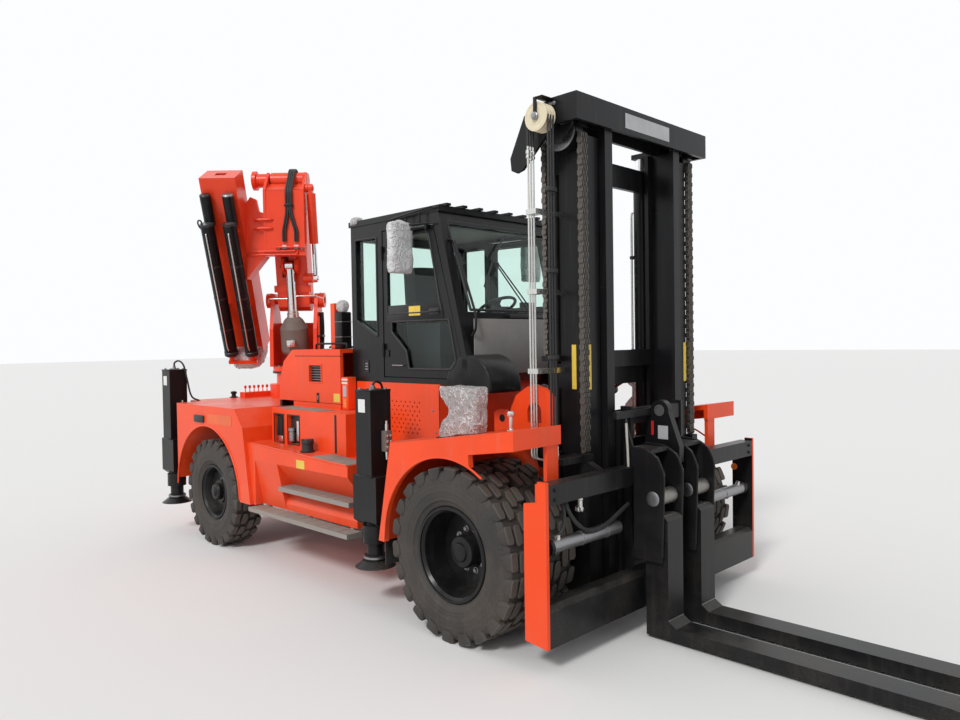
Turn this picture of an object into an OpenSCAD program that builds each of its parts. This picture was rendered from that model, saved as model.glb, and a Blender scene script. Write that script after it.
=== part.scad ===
// Heavy forklift truck with a folding crane on its tail and four stabiliser jacks.
// Millimetres. X forward, Y to the truck's left, Z up from the ground.
// Sizes along X are measured from the front axle, then the whole truck is moved to stand over its origin.

/* [Chassis] */
// Distance between the front and the rear axle
wheelbase = 3810; // [3700:10:3900]
// Width over the front tyres
overall_w = 2930; // [2880:10:2980]
// Distance from the rear axle to the back of the counterweight
rear_overhang = 1220; // [1200:10:1260]
// Outer width of the frame
frame_w = 860; // [800:10:880]
// Thickness of the frame's side plates
frame_t = 40; // [20:5:60]
// Height of the frame's top edge
frame_top = 1000; // [980:5:1010]
// Height of the frame's belly between the axles
belly_z = 430; // [400:10:480]

/* [Wheels] */
// Diameter of a front tyre out to its lugs
front_tyre_d = 1236; // [1220:2:1250]
// Diameter of a rear tyre out to its lugs
rear_tyre_d = 1118; // [1100:2:1130]
// Width of a tyre
tyre_w = 315; // [290:5:325]
// Spacing of the twin front tyres
twin_pitch = 350; // [345:5:360]
// Radius of a front rim at its flange
front_rim_r = 335; // [320:5:345]
// Radius of a rear rim at its flange
rear_rim_r = 285; // [270:5:295]
// Width over the rear tyres
rear_w = 2740; // [2700:10:2760]
// Height of a tread lug
lug_h = 26; // [15:1:35]
// Lugs along each shoulder of a tyre
lugs = 22; // [16:1:26]
// Distance from the kingpin to the rear tyre's inner face
kingpin_in = 82; // [80:1:100]
// Radius of a kingpin
kingpin_r = 34; // [28:1:40]
// Radius of a wheel spindle
spindle_r = 50; // [45:1:60]
// Clearance of a turning fit
fit = 0.05; // [0.02:0.01:0.1]
// Clearance of a part that slides on a rail
slide_fit = 0.3; // [0.2:0.1:1]

/* [Body] */
// Height of the front fender's flat rear top
fender_z = 1370; // [1350:5:1400]
// Rise of the front fender towards its front edge
fender_rise = 170; // [120:5:180]
// Radius of the front wheel arch
front_arch_r = 690; // [670:5:710]
// Radius of the rear wheel arch, room for the steered wheel
rear_arch_r = 710; // [705:5:730]
// Height of the rear fender's top
rear_deck_z = 1480; // [1460:5:1500]
// Thickness of a sheet-metal skirt
skirt_t = 45; // [30:5:60]
// Height of the side tank's ledge
ledge_z = 1120; // [1090:5:1130]
// Height of the lower tread
low_tread_z = 550; // [530:5:555]
// Height of the upper tread
high_tread_z = 790; // [770:5:820]
// Depth of the upper tread
tread_d = 160; // [120:10:200]
// Height of the locker's top behind the cab
locker_z = 1490; // [1460:5:1520]
// Half the width of the body under the cab
body_half = 790; // [785:1:792]
// Radius of the tow pin's bore
tow_pin_r = 26; // [22:1:30]

/* [Cab] */
// Rear of the cab
cab_rear = -2030; // [-2060:5:-2000]
// Foot of the slanted front pillar
cab_front = -480; // [-500:5:-460]
// Front edge of the roof
roof_front = -800; // [-840:5:-780]
// Underside of the cab
cab_z = 1760; // [1745:5:1790]
// Top of the roof
roof_z = 3270; // [3240:5:3300]
// Half the cab's width
cab_half = 720; // [700:5:740]
// Sideways place of the cab's middle
cab_y = -60; // [-80:5:0]
// Thickness of the cab's walls
cab_wall = 50; // [40:5:60]
// Thickness of a pane
pane_t = 8; // [6:1:12]
// Gap round a door
door_gap = 8; // [6:1:12]
// Angle that a door swings open
door_swing = 80; // [60:5:90]

/* [Hood] */
// Rear end of the hood
hood_rear = -3170; // [-3200:10:-3120]
// Top of the hood
hood_z = 2060; // [2030:5:2090]
// Underside of the hood's sides
hood_low = 1545; // [1530:5:1560]
// Half the hood's width
hood_half = 900; // [880:5:920]
// Thickness of the hood's walls
hood_wall = 35; // [25:5:50]

/* [Mast] */
// Height of the outer mast and the crossbeam, lowered
mast_top = 3804; // [3780:4:3840]
// Distance from the middle to a chain
chain_y = 720; // [700:5:740]
// Front run of the chains
chain_front_x = 650; // [640:5:660]
// Distance between the front and the rear run of a chain
sheave_d = 330; // [310:10:350]
// Middle of an inner mast post
inner_post_y = 462; // [455:1:466]
// Middle of an outer mast post
outer_post_y = 598; // [590:1:605]
// Travel of the inner mast
mast_travel = 1750; // [1600:10:1800]
// Height of the mast's trunnion pins
trunnion_z = 618; // [600:2:630]
// Place of the mast's trunnion pins
trunnion_x = 255; // [245:5:265]
// Radius of a trunnion pin
trunnion_r = 40; // [30:1:45]
// Radius of a tilt cylinder
tilt_r = 62; // [50:2:70]
// Radius of a lift cylinder
lift_r = 68; // [60:1:70]

/* [Carriage and forks] */
// Half the carriage's width
carriage_half = 1420; // [1390:10:1440]
// Front face of the carriage bars
carriage_x = 868; // [860:2:880]
// Top of the carriage
carriage_top = 1206; // [1190:2:1220]
// Underside of the carriage
carriage_low = 174; // [160:2:190]
// Length of a fork blade in front of its shank
blade_l = 2400; // [2000:20:2400]
// Width of a fork
fork_w = 200; // [180:5:220]
// Thickness of a fork blade at its heel
blade_t = 90; // [70:5:100]
// Height of the blade's underside over the ground
blade_z = 24; // [15:1:40]
// Middle of the right fork
fork_right_y = -326; // [-340:2:-310]
// Middle of the left fork
fork_left_y = 129; // [110:1:140]
// Front face of the fork's shank
shank_x = 1123; // [1110:1:1140]

/* [Jacks] */
// Size of a jack's square tube
jack_w = 200; // [180:5:220]
// Distance from the middle to a jack's outer face
jack_out = 1432; // [1410:2:1450]
// Place of the front jacks
jack_front_x = -1000; // [-1020:5:-990]
// Place of the rear jacks
jack_rear_x = -4740; // [-4760:5:-4730]
// Top of the front jacks
jack_top_front = 1735; // [1710:5:1740]
// Top of the rear jacks
jack_top_rear = 1840; // [1800:5:1860]
// Height of the foot pads over the ground
pad_z = 330; // [300:5:380]
// Radius of a jack's round leg
leg_r = 70; // [60:1:76]
// Radius of a foot pad
pad_r = 165; // [140:5:180]

/* [Crane] */
// Distance from the rear axle back to the crane's column
crane_back = 470; // [450:5:490]
// Direction that the folded crane is parked in
crane_slew = -45; // [-50:1:-40]
// Height of the inner boom's foot pin
foot_z = 2650; // [2620:5:2680]
// Distance of the knuckle pin in front of the foot pin
knuckle_u = 270; // [250:5:290]
// Height of the knuckle pin
knuckle_z = 4055; // [4020:5:4080]
// Sideways place of the outer boom
outer_w = -645; // [-660:5:-640]
// Lean of the folded outer boom
outer_lean = 27; // [25:1:29]
// Height of the outer boom's upper end along its axis
tail_z = 4040; // [4000:10:4060]
// Distance of that upper end in front of the column
tail_u = 730; // [710:5:750]
// Length of the outer boom
outer_l = 2180; // [2100:10:2200]
// Width of the outer boom
outer_box_w = 400; // [380:5:410]
// Depth of the outer boom
outer_box_d = 330; // [310:5:350]
// Wall of the outer boom
outer_wall = 22; // [16:1:30]
// Radius of a boom pin
boom_pin_r = 45; // [35:1:55]

/* [Hidden] */
$fn = 48;

eps = 0.5;
paint = "#f2502a";
dark = "#1d1f22";
steel = "#8c9096";
rubber = "#3a3530";
pane_c = "#9fc9b5";

front_r = front_tyre_d / 2;
rear_r = rear_tyre_d / 2;
rear_x = -wheelbase;
tail_x = rear_x - rear_overhang;
deck_rear = -4515;
tip_x = shank_x + blade_l;
crane_x = rear_x - crane_back;
fold_u = tail_u - outer_l * sin(outer_lean) - outer_box_d / 2 * cos(outer_lean);
fold_w = outer_w - outer_box_w / 2;
fold_x = crane_x + fold_u * cos(crane_slew) - fold_w * sin(crane_slew);
shift_x = -(tip_x + min(tail_x, fold_x)) / 2;

// Tow pin: distance from the tail, and the heights of its opening and upper mouth
tow_in = 95;
tow_slot_z = 860;
tow_top_z = 1100;

// Wheels: distance from the middle to the tyres' middles
front_out_y = overall_w / 2 - tyre_w / 2;
front_in_y = front_out_y - twin_pitch;
rear_wheel_y = rear_w / 2 - tyre_w / 2;
kingpin_y = rear_w / 2 - tyre_w - kingpin_in;

// Drive axle
axle_tube_r = 130;
axle_end_y = front_in_y - tyre_w / 2 - 20;
diff_r = 210;
stub_r = 45;
hood_hinge_y = 560;
hanger_x = 215;

// Mast levels
crossbeam_h = 186;
crossbeam_low = mast_top - crossbeam_h;
crossbeam_half = 875;
crossbeam_front = 725;
crossbeam_rear = 478;
post_low = 240;
rear_run_x = chain_front_x - sheave_d;
sheave_x = (chain_front_x + rear_run_x) / 2;
sheave_z = crossbeam_low - 20;
outer_post_x0 = 400;
outer_post_x1 = 640;
outer_post_w = 150;
inner_post_w = 90;
inner_post_x0 = 420;
inner_post_x1 = 690;
post_gap = outer_post_y - outer_post_w / 2 - inner_post_y - inner_post_w / 2;
lift_x = 285;
lift_y = 580;
lift_foot_z = post_low + 520;
chain_w = 76;
chain_t = 40;
chain_link = 76;
chain_anchor_z = carriage_top + 110;
chain_rear_z = 2000;
pipe_top_z = 3480;
hose_low_z = 1300;

roller_x = 453;
roller_z = 3665;
roller_y = crossbeam_half + 12;
hose_r = 8;
hose_wrap_r = 91.5;
hose_x = roller_x + hose_wrap_r;
pipe_x = roller_x - hose_wrap_r;

// Eye of the carriage's lug
eye_x = 880;
eye_z = 1586;

// Tilt cylinders: rear pin on the cab base, front pin on the mast
tilt_rear = [-330, 1490];
tilt_front = [308, 1850];
tilt_y = 440;
cowl_z = 1300;
body_front = -800;

// Gap between the tank and the rear fender's slanted edge
seam = 0.5;

// Side tank: its outer face, the height where that starts to lean in, and the inner edges of the treads
tank_out = jack_out - 60;
slant_z = ledge_z - 120;
high_tread_in = tank_out - 165;
low_tread_in = jack_out - 150;

// Tilt cylinder: its length between the pins, its lean and its barrel
tilt_len = norm(tilt_front - tilt_rear);
tilt_angle = atan2(tilt_front[1] - tilt_rear[1], tilt_front[0] - tilt_rear[0]);
tilt_barrel_l = tilt_len * 0.62;

// Crane: pins as U and Z in the plane of its booms
inner_len = norm([knuckle_u, knuckle_z - foot_z]);
inner_angle = atan2(knuckle_z - foot_z, knuckle_u);
inner_half = 190;
boom_d = 130;
cheek_w = 205;
clevis_w = 240;
lever_x = -4640;
lever_y = -510;
slew_z = 1760;
slew_gap = 5;
lift_low = [60, 1930];
lift_high = [290, 3050];
lift_len = norm(lift_high - lift_low);
lift_angle = atan2(lift_high[1] - lift_low[1], lift_high[0] - lift_low[0]);
side_w = 295;
side_low = [220, 2900];
side_high = [420, 3930];
side_len = norm(side_high - side_low);
side_angle = atan2(side_high[1] - side_low[1], side_high[0] - side_low[0]);
side_barrel_l = 640;
barrel_lift = outer_box_d / 2 + 165;
barrel_r = 76;
knuckle_end = 236;
knuckle_far = -410;

function fender_top(x) = fender_z + max(0, x + 520) / 1175 * fender_rise;
function fender_edge(z) = -2890 - (z - 560) / 740 * 130;

// Basic shapes placed by their limits
module box(x0, x1, y0, y1, z0, z1)
    translate([x0, y0, z0]) cube([x1 - x0, y1 - y0, z1 - z0]);

module rod_x(y, z, r, x0, x1)
    translate([x0, y, z]) rotate([0, 90, 0]) cylinder(r = r, h = x1 - x0);

module rod_y(x, z, r, y0, y1)
    translate([x, y1, z]) rotate([90, 0, 0]) cylinder(r = r, h = y1 - y0);

module rod_z(x, y, r, z0, z1)
    translate([x, y, z0]) cylinder(r = r, h = z1 - z0);

// A side view outline in X and Z, as thick as from y0 to y1
module slab(points, y0, y1)
    translate([0, y1, 0]) rotate([90, 0, 0]) linear_extrude(y1 - y0) polygon(points);

// A front view outline in Y and Z, as thick as from x0 to x1
module wall(points, x0, x1)
    translate([x0, 0, 0]) rotate([90, 0, 90]) linear_extrude(x1 - x0) polygon(points);

module both_sides() {
    children();
    mirror([0, 1, 0]) children();
}

module truck() translate([shift_x, 0, 0]) children();

module crane() truck() translate([crane_x, 0, 0]) rotate([0, 0, crane_slew]) children();

// Along a leaning line in the X-Z plane: children are drawn along +X from the point
module leaning(point, angle) translate([point[0], 0, point[1]]) rotate([0, -angle, 0]) children();

// Chassis

module frame_side() {
    top = frame_top;
    slab([[deck_rear, top], [300, top], [300, 800], [-230, 800], [-330, belly_z], [-3260, belly_z],
          [-3420, 730], [deck_rear, 730]], -frame_w / 2, -frame_w / 2 + frame_t);
}

module chassis_frame() color(dark) truck() {
    both_sides() frame_side();
    // Cross plates between the side plates
    for (x = [-4400, -3140, -2040, -1200, -420])
        box(x, x + 40, -frame_w / 2 + frame_t, frame_w / 2 - frame_t, x < -3500 ? 740 : belly_z + 30, frame_top);
    box(260, 300, -frame_w / 2 + frame_t, frame_w / 2 - frame_t, 850, frame_top);
    box(-230, 260, -frame_w / 2 + frame_t, frame_w / 2 - frame_t, 850, 890);
    // Pads over the drive axle
    both_sides() box(-140, 140, frame_w / 2 - 120, frame_w / 2 - frame_t, 760, 850);
    // Hangers of the steer axle
    for (s = [-1, 1])
        difference() {
            box(rear_x + s * hanger_x - 25, rear_x + s * hanger_x + 25, -frame_w / 2 + frame_t,
                frame_w / 2 - frame_t, 460, 800);
            box(rear_x + s * hanger_x - 26, rear_x + s * hanger_x + 26, -260, 260, 700, 801);
            rod_x(0, rear_r, stub_r, rear_x + s * hanger_x - 26, rear_x + s * hanger_x + 26);
        }
    // Bulkhead behind the engine, it carries the hood's hinge
    difference() {
        union() {
            box(-3165, -3125, -frame_w / 2, frame_w / 2, frame_top, hood_low - 5);
            box(-3165, -3125, -hood_half, hood_half, rear_deck_z, hood_low - 5);
        }
        both_sides() rod_y(hood_rear, hood_low, 26, hood_hinge_y - 75, hood_hinge_y + 1);
    }
    both_sides() {
        rod_y(hood_rear, hood_low, 22, hood_hinge_y, hood_hinge_y + 80);
        rod_y(hood_rear, hood_low, 9, hood_hinge_y - 70, hood_hinge_y + 1);
    }
}

module drive_axle() {
    difference() {
        union() {
            rod_y(0, front_r, axle_tube_r, -axle_end_y, axle_end_y);
            translate([0, -diff_r * 1.25, front_r]) rotate([-90, 0, 0]) rotate_extrude()
                polygon([for (i = [0:12]) [diff_r * sin(i * 15), diff_r * 1.25 * (1 - cos(i * 15))]]);
            both_sides() {
                rod_y(0, front_r, axle_tube_r + 35, axle_end_y - 40, axle_end_y);
                // Trunnion ears for the mast
                for (y = [outer_post_y - 92, outer_post_y + 48])
                    slab([[0, front_r - 110], [trunnion_x + 40, trunnion_z - 62], [trunnion_x + 66, trunnion_z],
                          [trunnion_x + 40, trunnion_z + 62], [0, front_r + 110]], y, y + 44);
                // Wheel spindle
                rod_y(0, front_r, spindle_r, axle_end_y - eps, overall_w / 2 - 120);
            }
            // Pads under the frame
            both_sides() box(-110, 110, frame_w / 2 - 110, frame_w / 2 - frame_t, front_r, 760);
        }
        both_sides() rod_y(trunnion_x, trunnion_z, trunnion_r + fit, outer_post_y - 100, outer_post_y + 100);
    }
}

module steer_axle() {
    difference() {
        union() {
            wall([[-kingpin_y + 60, rear_r - 60], [-300, rear_r - 120], [300, rear_r - 120],
                  [kingpin_y - 60, rear_r - 60], [kingpin_y - 60, rear_r + 60], [300, rear_r + 110],
                  [-300, rear_r + 110], [-kingpin_y + 60, rear_r + 60]], rear_x - 90, rear_x + 90);
            both_sides() rod_z(rear_x, kingpin_y, 74, rear_r - 100, rear_r + 100);
            // Pivot stubs of the oscillating beam
            rod_x(0, rear_r, stub_r, rear_x - hanger_x - 45, rear_x + hanger_x + 45);
            // Steering cylinder across the beam
            rod_y(rear_x - 130, rear_r + 10, 48, -430, 430);
            box(rear_x - 130, rear_x - 80, -60, 60, rear_r - 30, rear_r + 40);
        }
        both_sides() rod_z(rear_x, kingpin_y, kingpin_r + fit, rear_r - 120, rear_r + 120);
    }
}

module axles() color(dark) truck() {
    drive_axle();
    steer_axle();
}

// Steering knuckle of the left side
module knuckle() truck() {
    ear_z = 104;
    face_y = kingpin_y + 84;
    rod_z(rear_x, kingpin_y, kingpin_r, rear_r - ear_z - 40, rear_r + ear_z + 40);
    for (s = [-1, 1])
        translate([0, 0, s * (ear_z + 17)]) {
            rod_z(rear_x, kingpin_y, 66, rear_r - 17, rear_r + 17);
            box(rear_x - 66, rear_x + 66, kingpin_y, face_y + 30, rear_r - 17, rear_r + 17);
        }
    box(rear_x - 66, rear_x + 66, face_y, face_y + 30, rear_r - ear_z - 34, rear_r + ear_z + 34);
    rod_y(rear_x, rear_r, spindle_r, face_y, rear_w / 2 - 70);
}

// Wheels

// Section of a tyre: half widths and radii
module tyre_section(r, rim_r) {
    c = r - lug_h;
    h = tyre_w / 2;
    polygon([[rim_r, -h * 0.70], [rim_r + 40, -h * 0.86], [(rim_r + c) / 2, -h], [c - 40, -h * 0.97],
             [c, -h * 0.80], [c, h * 0.80], [c - 40, h * 0.97], [(rim_r + c) / 2, h],
             [rim_r + 40, h * 0.86], [rim_r, h * 0.70]]);
}

// Tyre about the Y axis with staggered shoulder lugs
module tyre(r, rim_r) {
    step = 360 / lugs;
    half = tyre_w / 2;
    lug_l = 2 * PI * r / lugs * 0.62;
    lug_r = sqrt(r * r - lug_l * lug_l / 4);
    rotate([90, 0, 0]) {
        rotate_extrude($fn = 44) tyre_section(r, rim_r);
        for (side = [0, 1])
            for (i = [0:lugs - 1])
                rotate([0, 0, (i + side / 2) * step])
                    mirror([0, 0, side])
                        translate([r - lug_h - 14, -lug_l / 2, 6])
                            cube([lug_r - r + lug_h + 14, lug_l, half - 10]);
    }
}

// Rim with its outward dish: disc face at the outer side
module rim(rim_r, width, disc_at, bore) {
    rotate([-90, 0, 0])
        rotate_extrude()
            polygon([[bore, disc_at - 40], [bore, disc_at + 40], [bore + 70, disc_at + 40], [bore + 78, disc_at + 10],
                     [rim_r - 60, disc_at + 10], [rim_r - 34, width / 2 - 20], [rim_r - 14, width / 2],
                     [rim_r, width / 2], [rim_r, -width / 2], [rim_r - 34, -width / 2],
                     [rim_r - 62, disc_at - 24], [bore + 70, disc_at - 24], [bore + 66, disc_at - 40]]);
}

module front_tyres() truck()
    for (y = [front_in_y, front_out_y])
        translate([0, y, front_r]) tyre(front_r, front_rim_r);

module front_rims() truck() {
    translate([0, front_out_y, front_r]) rim(front_rim_r, tyre_w * 0.78, -90, spindle_r + fit);
    translate([0, front_in_y, front_r]) mirror([0, 1, 0])
        rim(front_rim_r, tyre_w * 0.78, -70, axle_tube_r + 60);
    // Hub drum between the rims
    difference() {
        rod_y(0, front_r, 200, front_in_y + 90, front_out_y - 125);
        rod_y(0, front_r, spindle_r + fit, front_in_y, front_out_y);
    }
}

module rear_tyre() truck() translate([rear_x, rear_wheel_y, rear_r]) tyre(rear_r, rear_rim_r);

module rear_rim() truck() translate([rear_x, rear_wheel_y, rear_r])
    rim(rear_rim_r, tyre_w * 0.78, 20, spindle_r + fit);

// Body

module counterweight() color(paint) truck() {
    half = 1120;
    difference() {
        // Side view of the casting
        slab([[tail_x + 150, 1400], [tail_x + 230, rear_deck_z], [deck_rear, rear_deck_z], [deck_rear, 480],
              [tail_x + 330, 480], [tail_x + 110, 600], [tail_x, 780], [tail_x, 1060]], -half, half);
        // Tow opening with its pin's bore and the flat round the bore's upper mouth
        box(tail_x - 1, tail_x + 190, -90, 90, 700, tow_slot_z);
        rod_z(tail_x + tow_in, 0, tow_pin_r, 600, 1500);
        box(tail_x - 1, tail_x + 190, -70, 70, tow_top_z, 1500);
        // Recess that the folded crane's extension slides down into
        box(tail_x - 1, tail_x + 318, -350, -42, 1055, rear_deck_z + 1);
    }
}

module rear_fenders() {
    out = jack_out - 22;
    both_sides()
        difference() {
            slab([[deck_rear, 640], [deck_rear, rear_deck_z], [-3180, rear_deck_z], [fender_edge(1300), 1300],
                  [fender_edge(560), 560], [-3060, 560]], frame_w / 2, out);
            // Arch and the room that the steered wheel needs
            rod_y(rear_x, rear_r, rear_arch_r, 401, out + 1);
            box(rear_x - rear_arch_r, rear_x + rear_arch_r, 401, out + 1, 0, rear_r);
        }
    // Deck between them, it carries the crane
    difference() {
        box(deck_rear, -3180, -frame_w / 2 - 1, frame_w / 2 + 1, frame_top, rear_deck_z);
        box(-3880, -3220, -frame_w / 2 + 40, frame_w / 2 - 40, frame_top - 1, rear_deck_z - 40);
        box(deck_rear - 1, -3179, frame_w / 2, frame_w / 2 + 2, frame_top - 1, frame_top + 260);
        box(deck_rear - 1, -3179, -frame_w / 2 - 2, -frame_w / 2, frame_top - 1, frame_top + 260);
    }
}

// Front wheel's mudguard of the left side, open below
module front_fender() {
    out = overall_w / 2 + skirt_t - 30;
    inn = body_half;
    front = 655;
    nose_z = fender_top(front);
    // Skirt with its arch
    difference() {
        slab([[-760, 600], [-600, fender_z], [-520, fender_z], [front, nose_z], [front, nose_z - 130], [400, 600]],
             out - skirt_t, out);
        rod_y(0, front_r, front_arch_r, out - skirt_t - 1, out + 1);
        box(-front_arch_r, 900, out - skirt_t - 1, out + 1, 0, front_r);
        slab([[300, 500], [900, 500], [900, nose_z - 60], [front, nose_z - 131], [240, fender_top(240) - 130]],
             out - skirt_t - 1, out + 1);
    }
    // Top sheet, open inside beside the mast
    difference() {
        slab([[-640, fender_z - 200], [-600, fender_z], [-520, fender_z], [front, nose_z], [front, nose_z - 130],
              [front - 35, nose_z - 130], [front - 35, nose_z - 48], [-520, fender_z - 40], [-565, fender_z - 40],
              [-605, fender_z - 200]], inn, out - skirt_t + 1);
        box(60, front + 1, inn - 1, inn + 210, 1000, 1700);
    }
    // Tongue below its front edge
    box(front - 40, front - 10, inn + 230, inn + 350, 1170, nose_z - 60);
    // Rear splash sheet
    slab([[-760, 600], [-720, 600], [-600, fender_z - 199], [-640, fender_z - 199]], inn, out - skirt_t + 1);
    // Arched plate that closes the fender towards the mast
    difference() {
        slab([[40, fender_top(40) - 40], [44, fender_top(40)], [80, 1600], [140, 1715], [250, 1780], [330, 1798], [420, 1775], [490, 1715],
              [500, 1640], [500, fender_top(500) - 40]], inn + 62, inn + 92);
        rod_y(316, 1600, 66, inn + 61, inn + 93);
        box(250, 382, inn + 61, inn + 93, 1520, 1600);
    }
}

module fenders() color(paint) truck() {
    rear_fenders();
    both_sides() front_fender();
}

module side_tanks() color(paint) truck() both_sides() {
    // Tank between the rear fender and the front jack
    difference() {
        slab([[fender_edge(560) + seam, 560], [fender_edge(ledge_z + 40) + seam, ledge_z + 40], [-1310, ledge_z - 20],
              [-1310, 560]], frame_w / 2, tank_out);
        // Its face leans in to the back of the upper tread, and out again to the lower tread
        wall([[tank_out + 1, slant_z], [tank_out, slant_z], [high_tread_in, high_tread_z],
              [high_tread_in, high_tread_z - 40], [low_tread_in, 620], [low_tread_in, 500], [tank_out + 1, 500]],
             -2440, -1300);
        // Beside the upper tread it leans in to the lower tread in one run
        wall([[tank_out + 1, slant_z], [tank_out, slant_z], [low_tread_in, 560], [low_tread_in, 500],
              [tank_out + 1, 500]], -2850, -2439);
        // Room for the body under the cab
        box(-1960, -1300, 0, body_half, frame_top, 1200);
    }
    // Locker
    difference() {
        union() {
            box(-2900, -1980, 480, 1150, ledge_z - 20, locker_z);
            box(-1981, -1640, body_half, 1150, ledge_z - 20, locker_z);
        }
        for (x = [[-2850, -2680], [-2600, -2400]])
            box(x[0], x[1], 1110, 1151, ledge_z + 40, locker_z - 60);
    }
    // Seat of the hood's side
    box(-2900, -2075, hood_half - 40, hood_half, locker_z - 1, hood_low - 5);
    // Filler cap
    rod_z(-2120, 1240, 50, ledge_z - 20, ledge_z + 110);
}

module treads() color(steel) truck() both_sides() {
    box(-2430, -1310, high_tread_in, high_tread_in + tread_d, high_tread_z - 40, high_tread_z);
    box(-2870, -1240, low_tread_in + 5, jack_out + 8, low_tread_z - 40, low_tread_z);
    // Hangers of the lower tread
    for (x = [-2800, -2080, -1400]) box(x, x + 40, low_tread_in - 40, low_tread_in + 6, low_tread_z - 40, 560);
}

module cab_base() color(paint) truck() {
    // Body under the cab with its side panels
    difference() {
        box(-1960, body_front, -body_half, body_half, frame_top, cab_z);
        box(-1900, body_front - 60, -body_half + 40, body_half - 40, frame_top - 1, cab_z - 60);
        for (i = [0:7])
            for (k = [0:7])
                both_sides()
                    translate([-1530 + i * 62 + (k % 2) * 31, body_half - 1, 1330 + k * 38]) rotate([90, 0, 0])
                        cylinder(r = 9, h = 90, center = true, $fn = 16);
    }
    // Cowl in front of it, and its two arms beside the mast
    difference() {
        box(body_front - 1, -140, -body_half, body_half, frame_top, cowl_z);
        box(body_front - 2, -180, -body_half + 40, body_half - 40, frame_top - 1, cowl_z - 30);
    }
    both_sides() {
        box(-141, 60, 540, body_half, frame_top, cowl_z);
        // Brackets of the tilt cylinders
        for (y = [tilt_y - 96, tilt_y + 68])
            difference() {
                slab([[-420, cowl_z - 2], [-420, 1530], [-370, 1560], [-290, 1560], [-220, 1500],
                      [-140, cowl_z - 2]], y, y + 28);
                rod_y(tilt_rear[0], tilt_rear[1], 30 + fit, y - 1, y + 29);
            }
    }
}

module engine_block() color(steel) truck()
    box(-3080, -2060, -frame_w / 2 + frame_t, frame_w / 2 - frame_t, 620, 1500);

module hood() color(paint) truck() {
    difference() {
        hood_form(hood_half, 0);
        hood_form(hood_half - hood_wall, hood_wall);
        // Side vents
        both_sides() box(-2600, -2390, hood_half - hood_wall - 1, hood_half + 1, 1745, 1905);
        // Room for the fixed halves of the hinges
        both_sides() rod_y(hood_rear, hood_low, 28, hood_hinge_y - 6, hood_hinge_y + 86);
        both_sides() rod_y(hood_rear, hood_low, 12, hood_hinge_y - 76, hood_hinge_y);
    }
    // Turning halves of the hinges
    both_sides()
        difference() {
            rod_y(hood_rear, hood_low, 22, hood_hinge_y - 69, hood_hinge_y - 1);
            rod_y(hood_rear, hood_low, 9 + fit, hood_hinge_y - 70, hood_hinge_y);
        }
    // Post behind the cab
    box(-2600, -2530, -640, -570, hood_z - 2, 2520);
}

module hood_lamp() color("#d9d6d2") truck() {
    box(-2480, -2420, -635, -575, hood_z, 2220);
    box(-2500, -2370, -670, -540, 2219, 2550);
}

// The hood's outline, set in by its wall
module hood_form(half, inset)
    slab([[hood_rear + inset, hood_low - inset], [hood_rear + inset, hood_z - 330 - inset * 0.5],
          [hood_rear + 90 + inset * 0.8, hood_z - 120 - inset * 0.8], [hood_rear + 260 + inset * 0.3, hood_z - inset],
          [-2070 + inset, hood_z - inset], [-2070 + inset, hood_low - inset]], -half, half);

// Cab: side outline shared by shell, doors and glass

side_outline = [[cab_rear, cab_z], [cab_front - 110, cab_z], [cab_front, cab_z + 130], [cab_front, cab_z + 215],
                [roof_front, roof_z - 70], [cab_rear, roof_z - 20]];
door_outline = [[-1560, cab_z + 45], [cab_front - 150, cab_z + 45], [cab_front - 62, cab_z + 150],
                [cab_front - 62, cab_z + 215], [roof_front - 62, roof_z - 165], [-1560, roof_z - 150]];
upper_pane = [[-1500, 2370], [-780, 2370], [roof_front - 130, roof_z - 225], [-1500, roof_z - 215]];
lower_pane = [[-1440, 2300], [-1440, 2210], [-1240, 2040], [-1210, 1885], [cab_front - 190, 1885],
              [cab_front - 130, 1950], [cab_front - 210, 2300]];
hinge_x = -1560 + door_gap;
hinge_z = [1990, 2860];
quarter_pane = [[-1960, 2330], [-1640, 2170], [-1640, roof_z - 200], [-1960, roof_z - 195]];

module cab_place() truck() translate([0, cab_y, 0]) children();

module cab_shell() color(dark) cab_place() {
    inner = cab_half - cab_wall;
    difference() {
        slab(side_outline, -cab_half, cab_half);
        // Hollow
        slab([[cab_rear + cab_wall, cab_z + 50], [cab_front - 125, cab_z + 50],
              [cab_front - cab_wall, cab_z + 150], [cab_front - cab_wall, cab_z + 215],
              [roof_front - cab_wall, roof_z - 115], [cab_rear + cab_wall, roof_z - 90]], -inner, inner);
        // Doorways and quarter windows
        for (s = [0, 1]) mirror([0, s, 0]) {
            slab(door_outline, inner - 1, cab_half + 1);
            slab(quarter_pane, inner - 1, cab_half + 1);
        }
        // Windscreen and rear window
        wall([[-inner + 40, 2360], [inner - 40, 2360], [inner - 40, roof_z - 170], [-inner + 40, roof_z - 170]],
             -1040, cab_front + 1);
        wall([[-inner + 60, 2330], [inner - 60, 2330], [inner - 60, roof_z - 200], [-inner + 60, roof_z - 200]],
             cab_rear - 1, cab_rear + cab_wall + 1);
    }
    // Roof guard: raised rim and bars
    difference() {
        box(cab_rear - 20, roof_front + 20, -cab_half - 10, cab_half + 10, roof_z - 70, roof_z - 20);
        box(cab_rear + 60, roof_front - 60, -cab_half + 70, cab_half - 70, roof_z - 71, roof_z - 19);
    }
    for (i = [0:6])
        box(cab_rear - 15, roof_front + 45, -cab_half + 60 + i * 190, -cab_half + 110 + i * 190, roof_z - 20, roof_z);
    // Outer halves of the door hinges with their pins
    for (s = [0, 1], z = hinge_z) mirror([0, s, 0]) {
        box(-1620, hinge_x, cab_half - 1, cab_half + 4, z + 62, z + 118);
        rod_z(hinge_x, cab_half + 10, 13, z + 62, z + 118);
        rod_z(hinge_x, cab_half + 10, 6, z, z + 63);
    }
}

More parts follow.
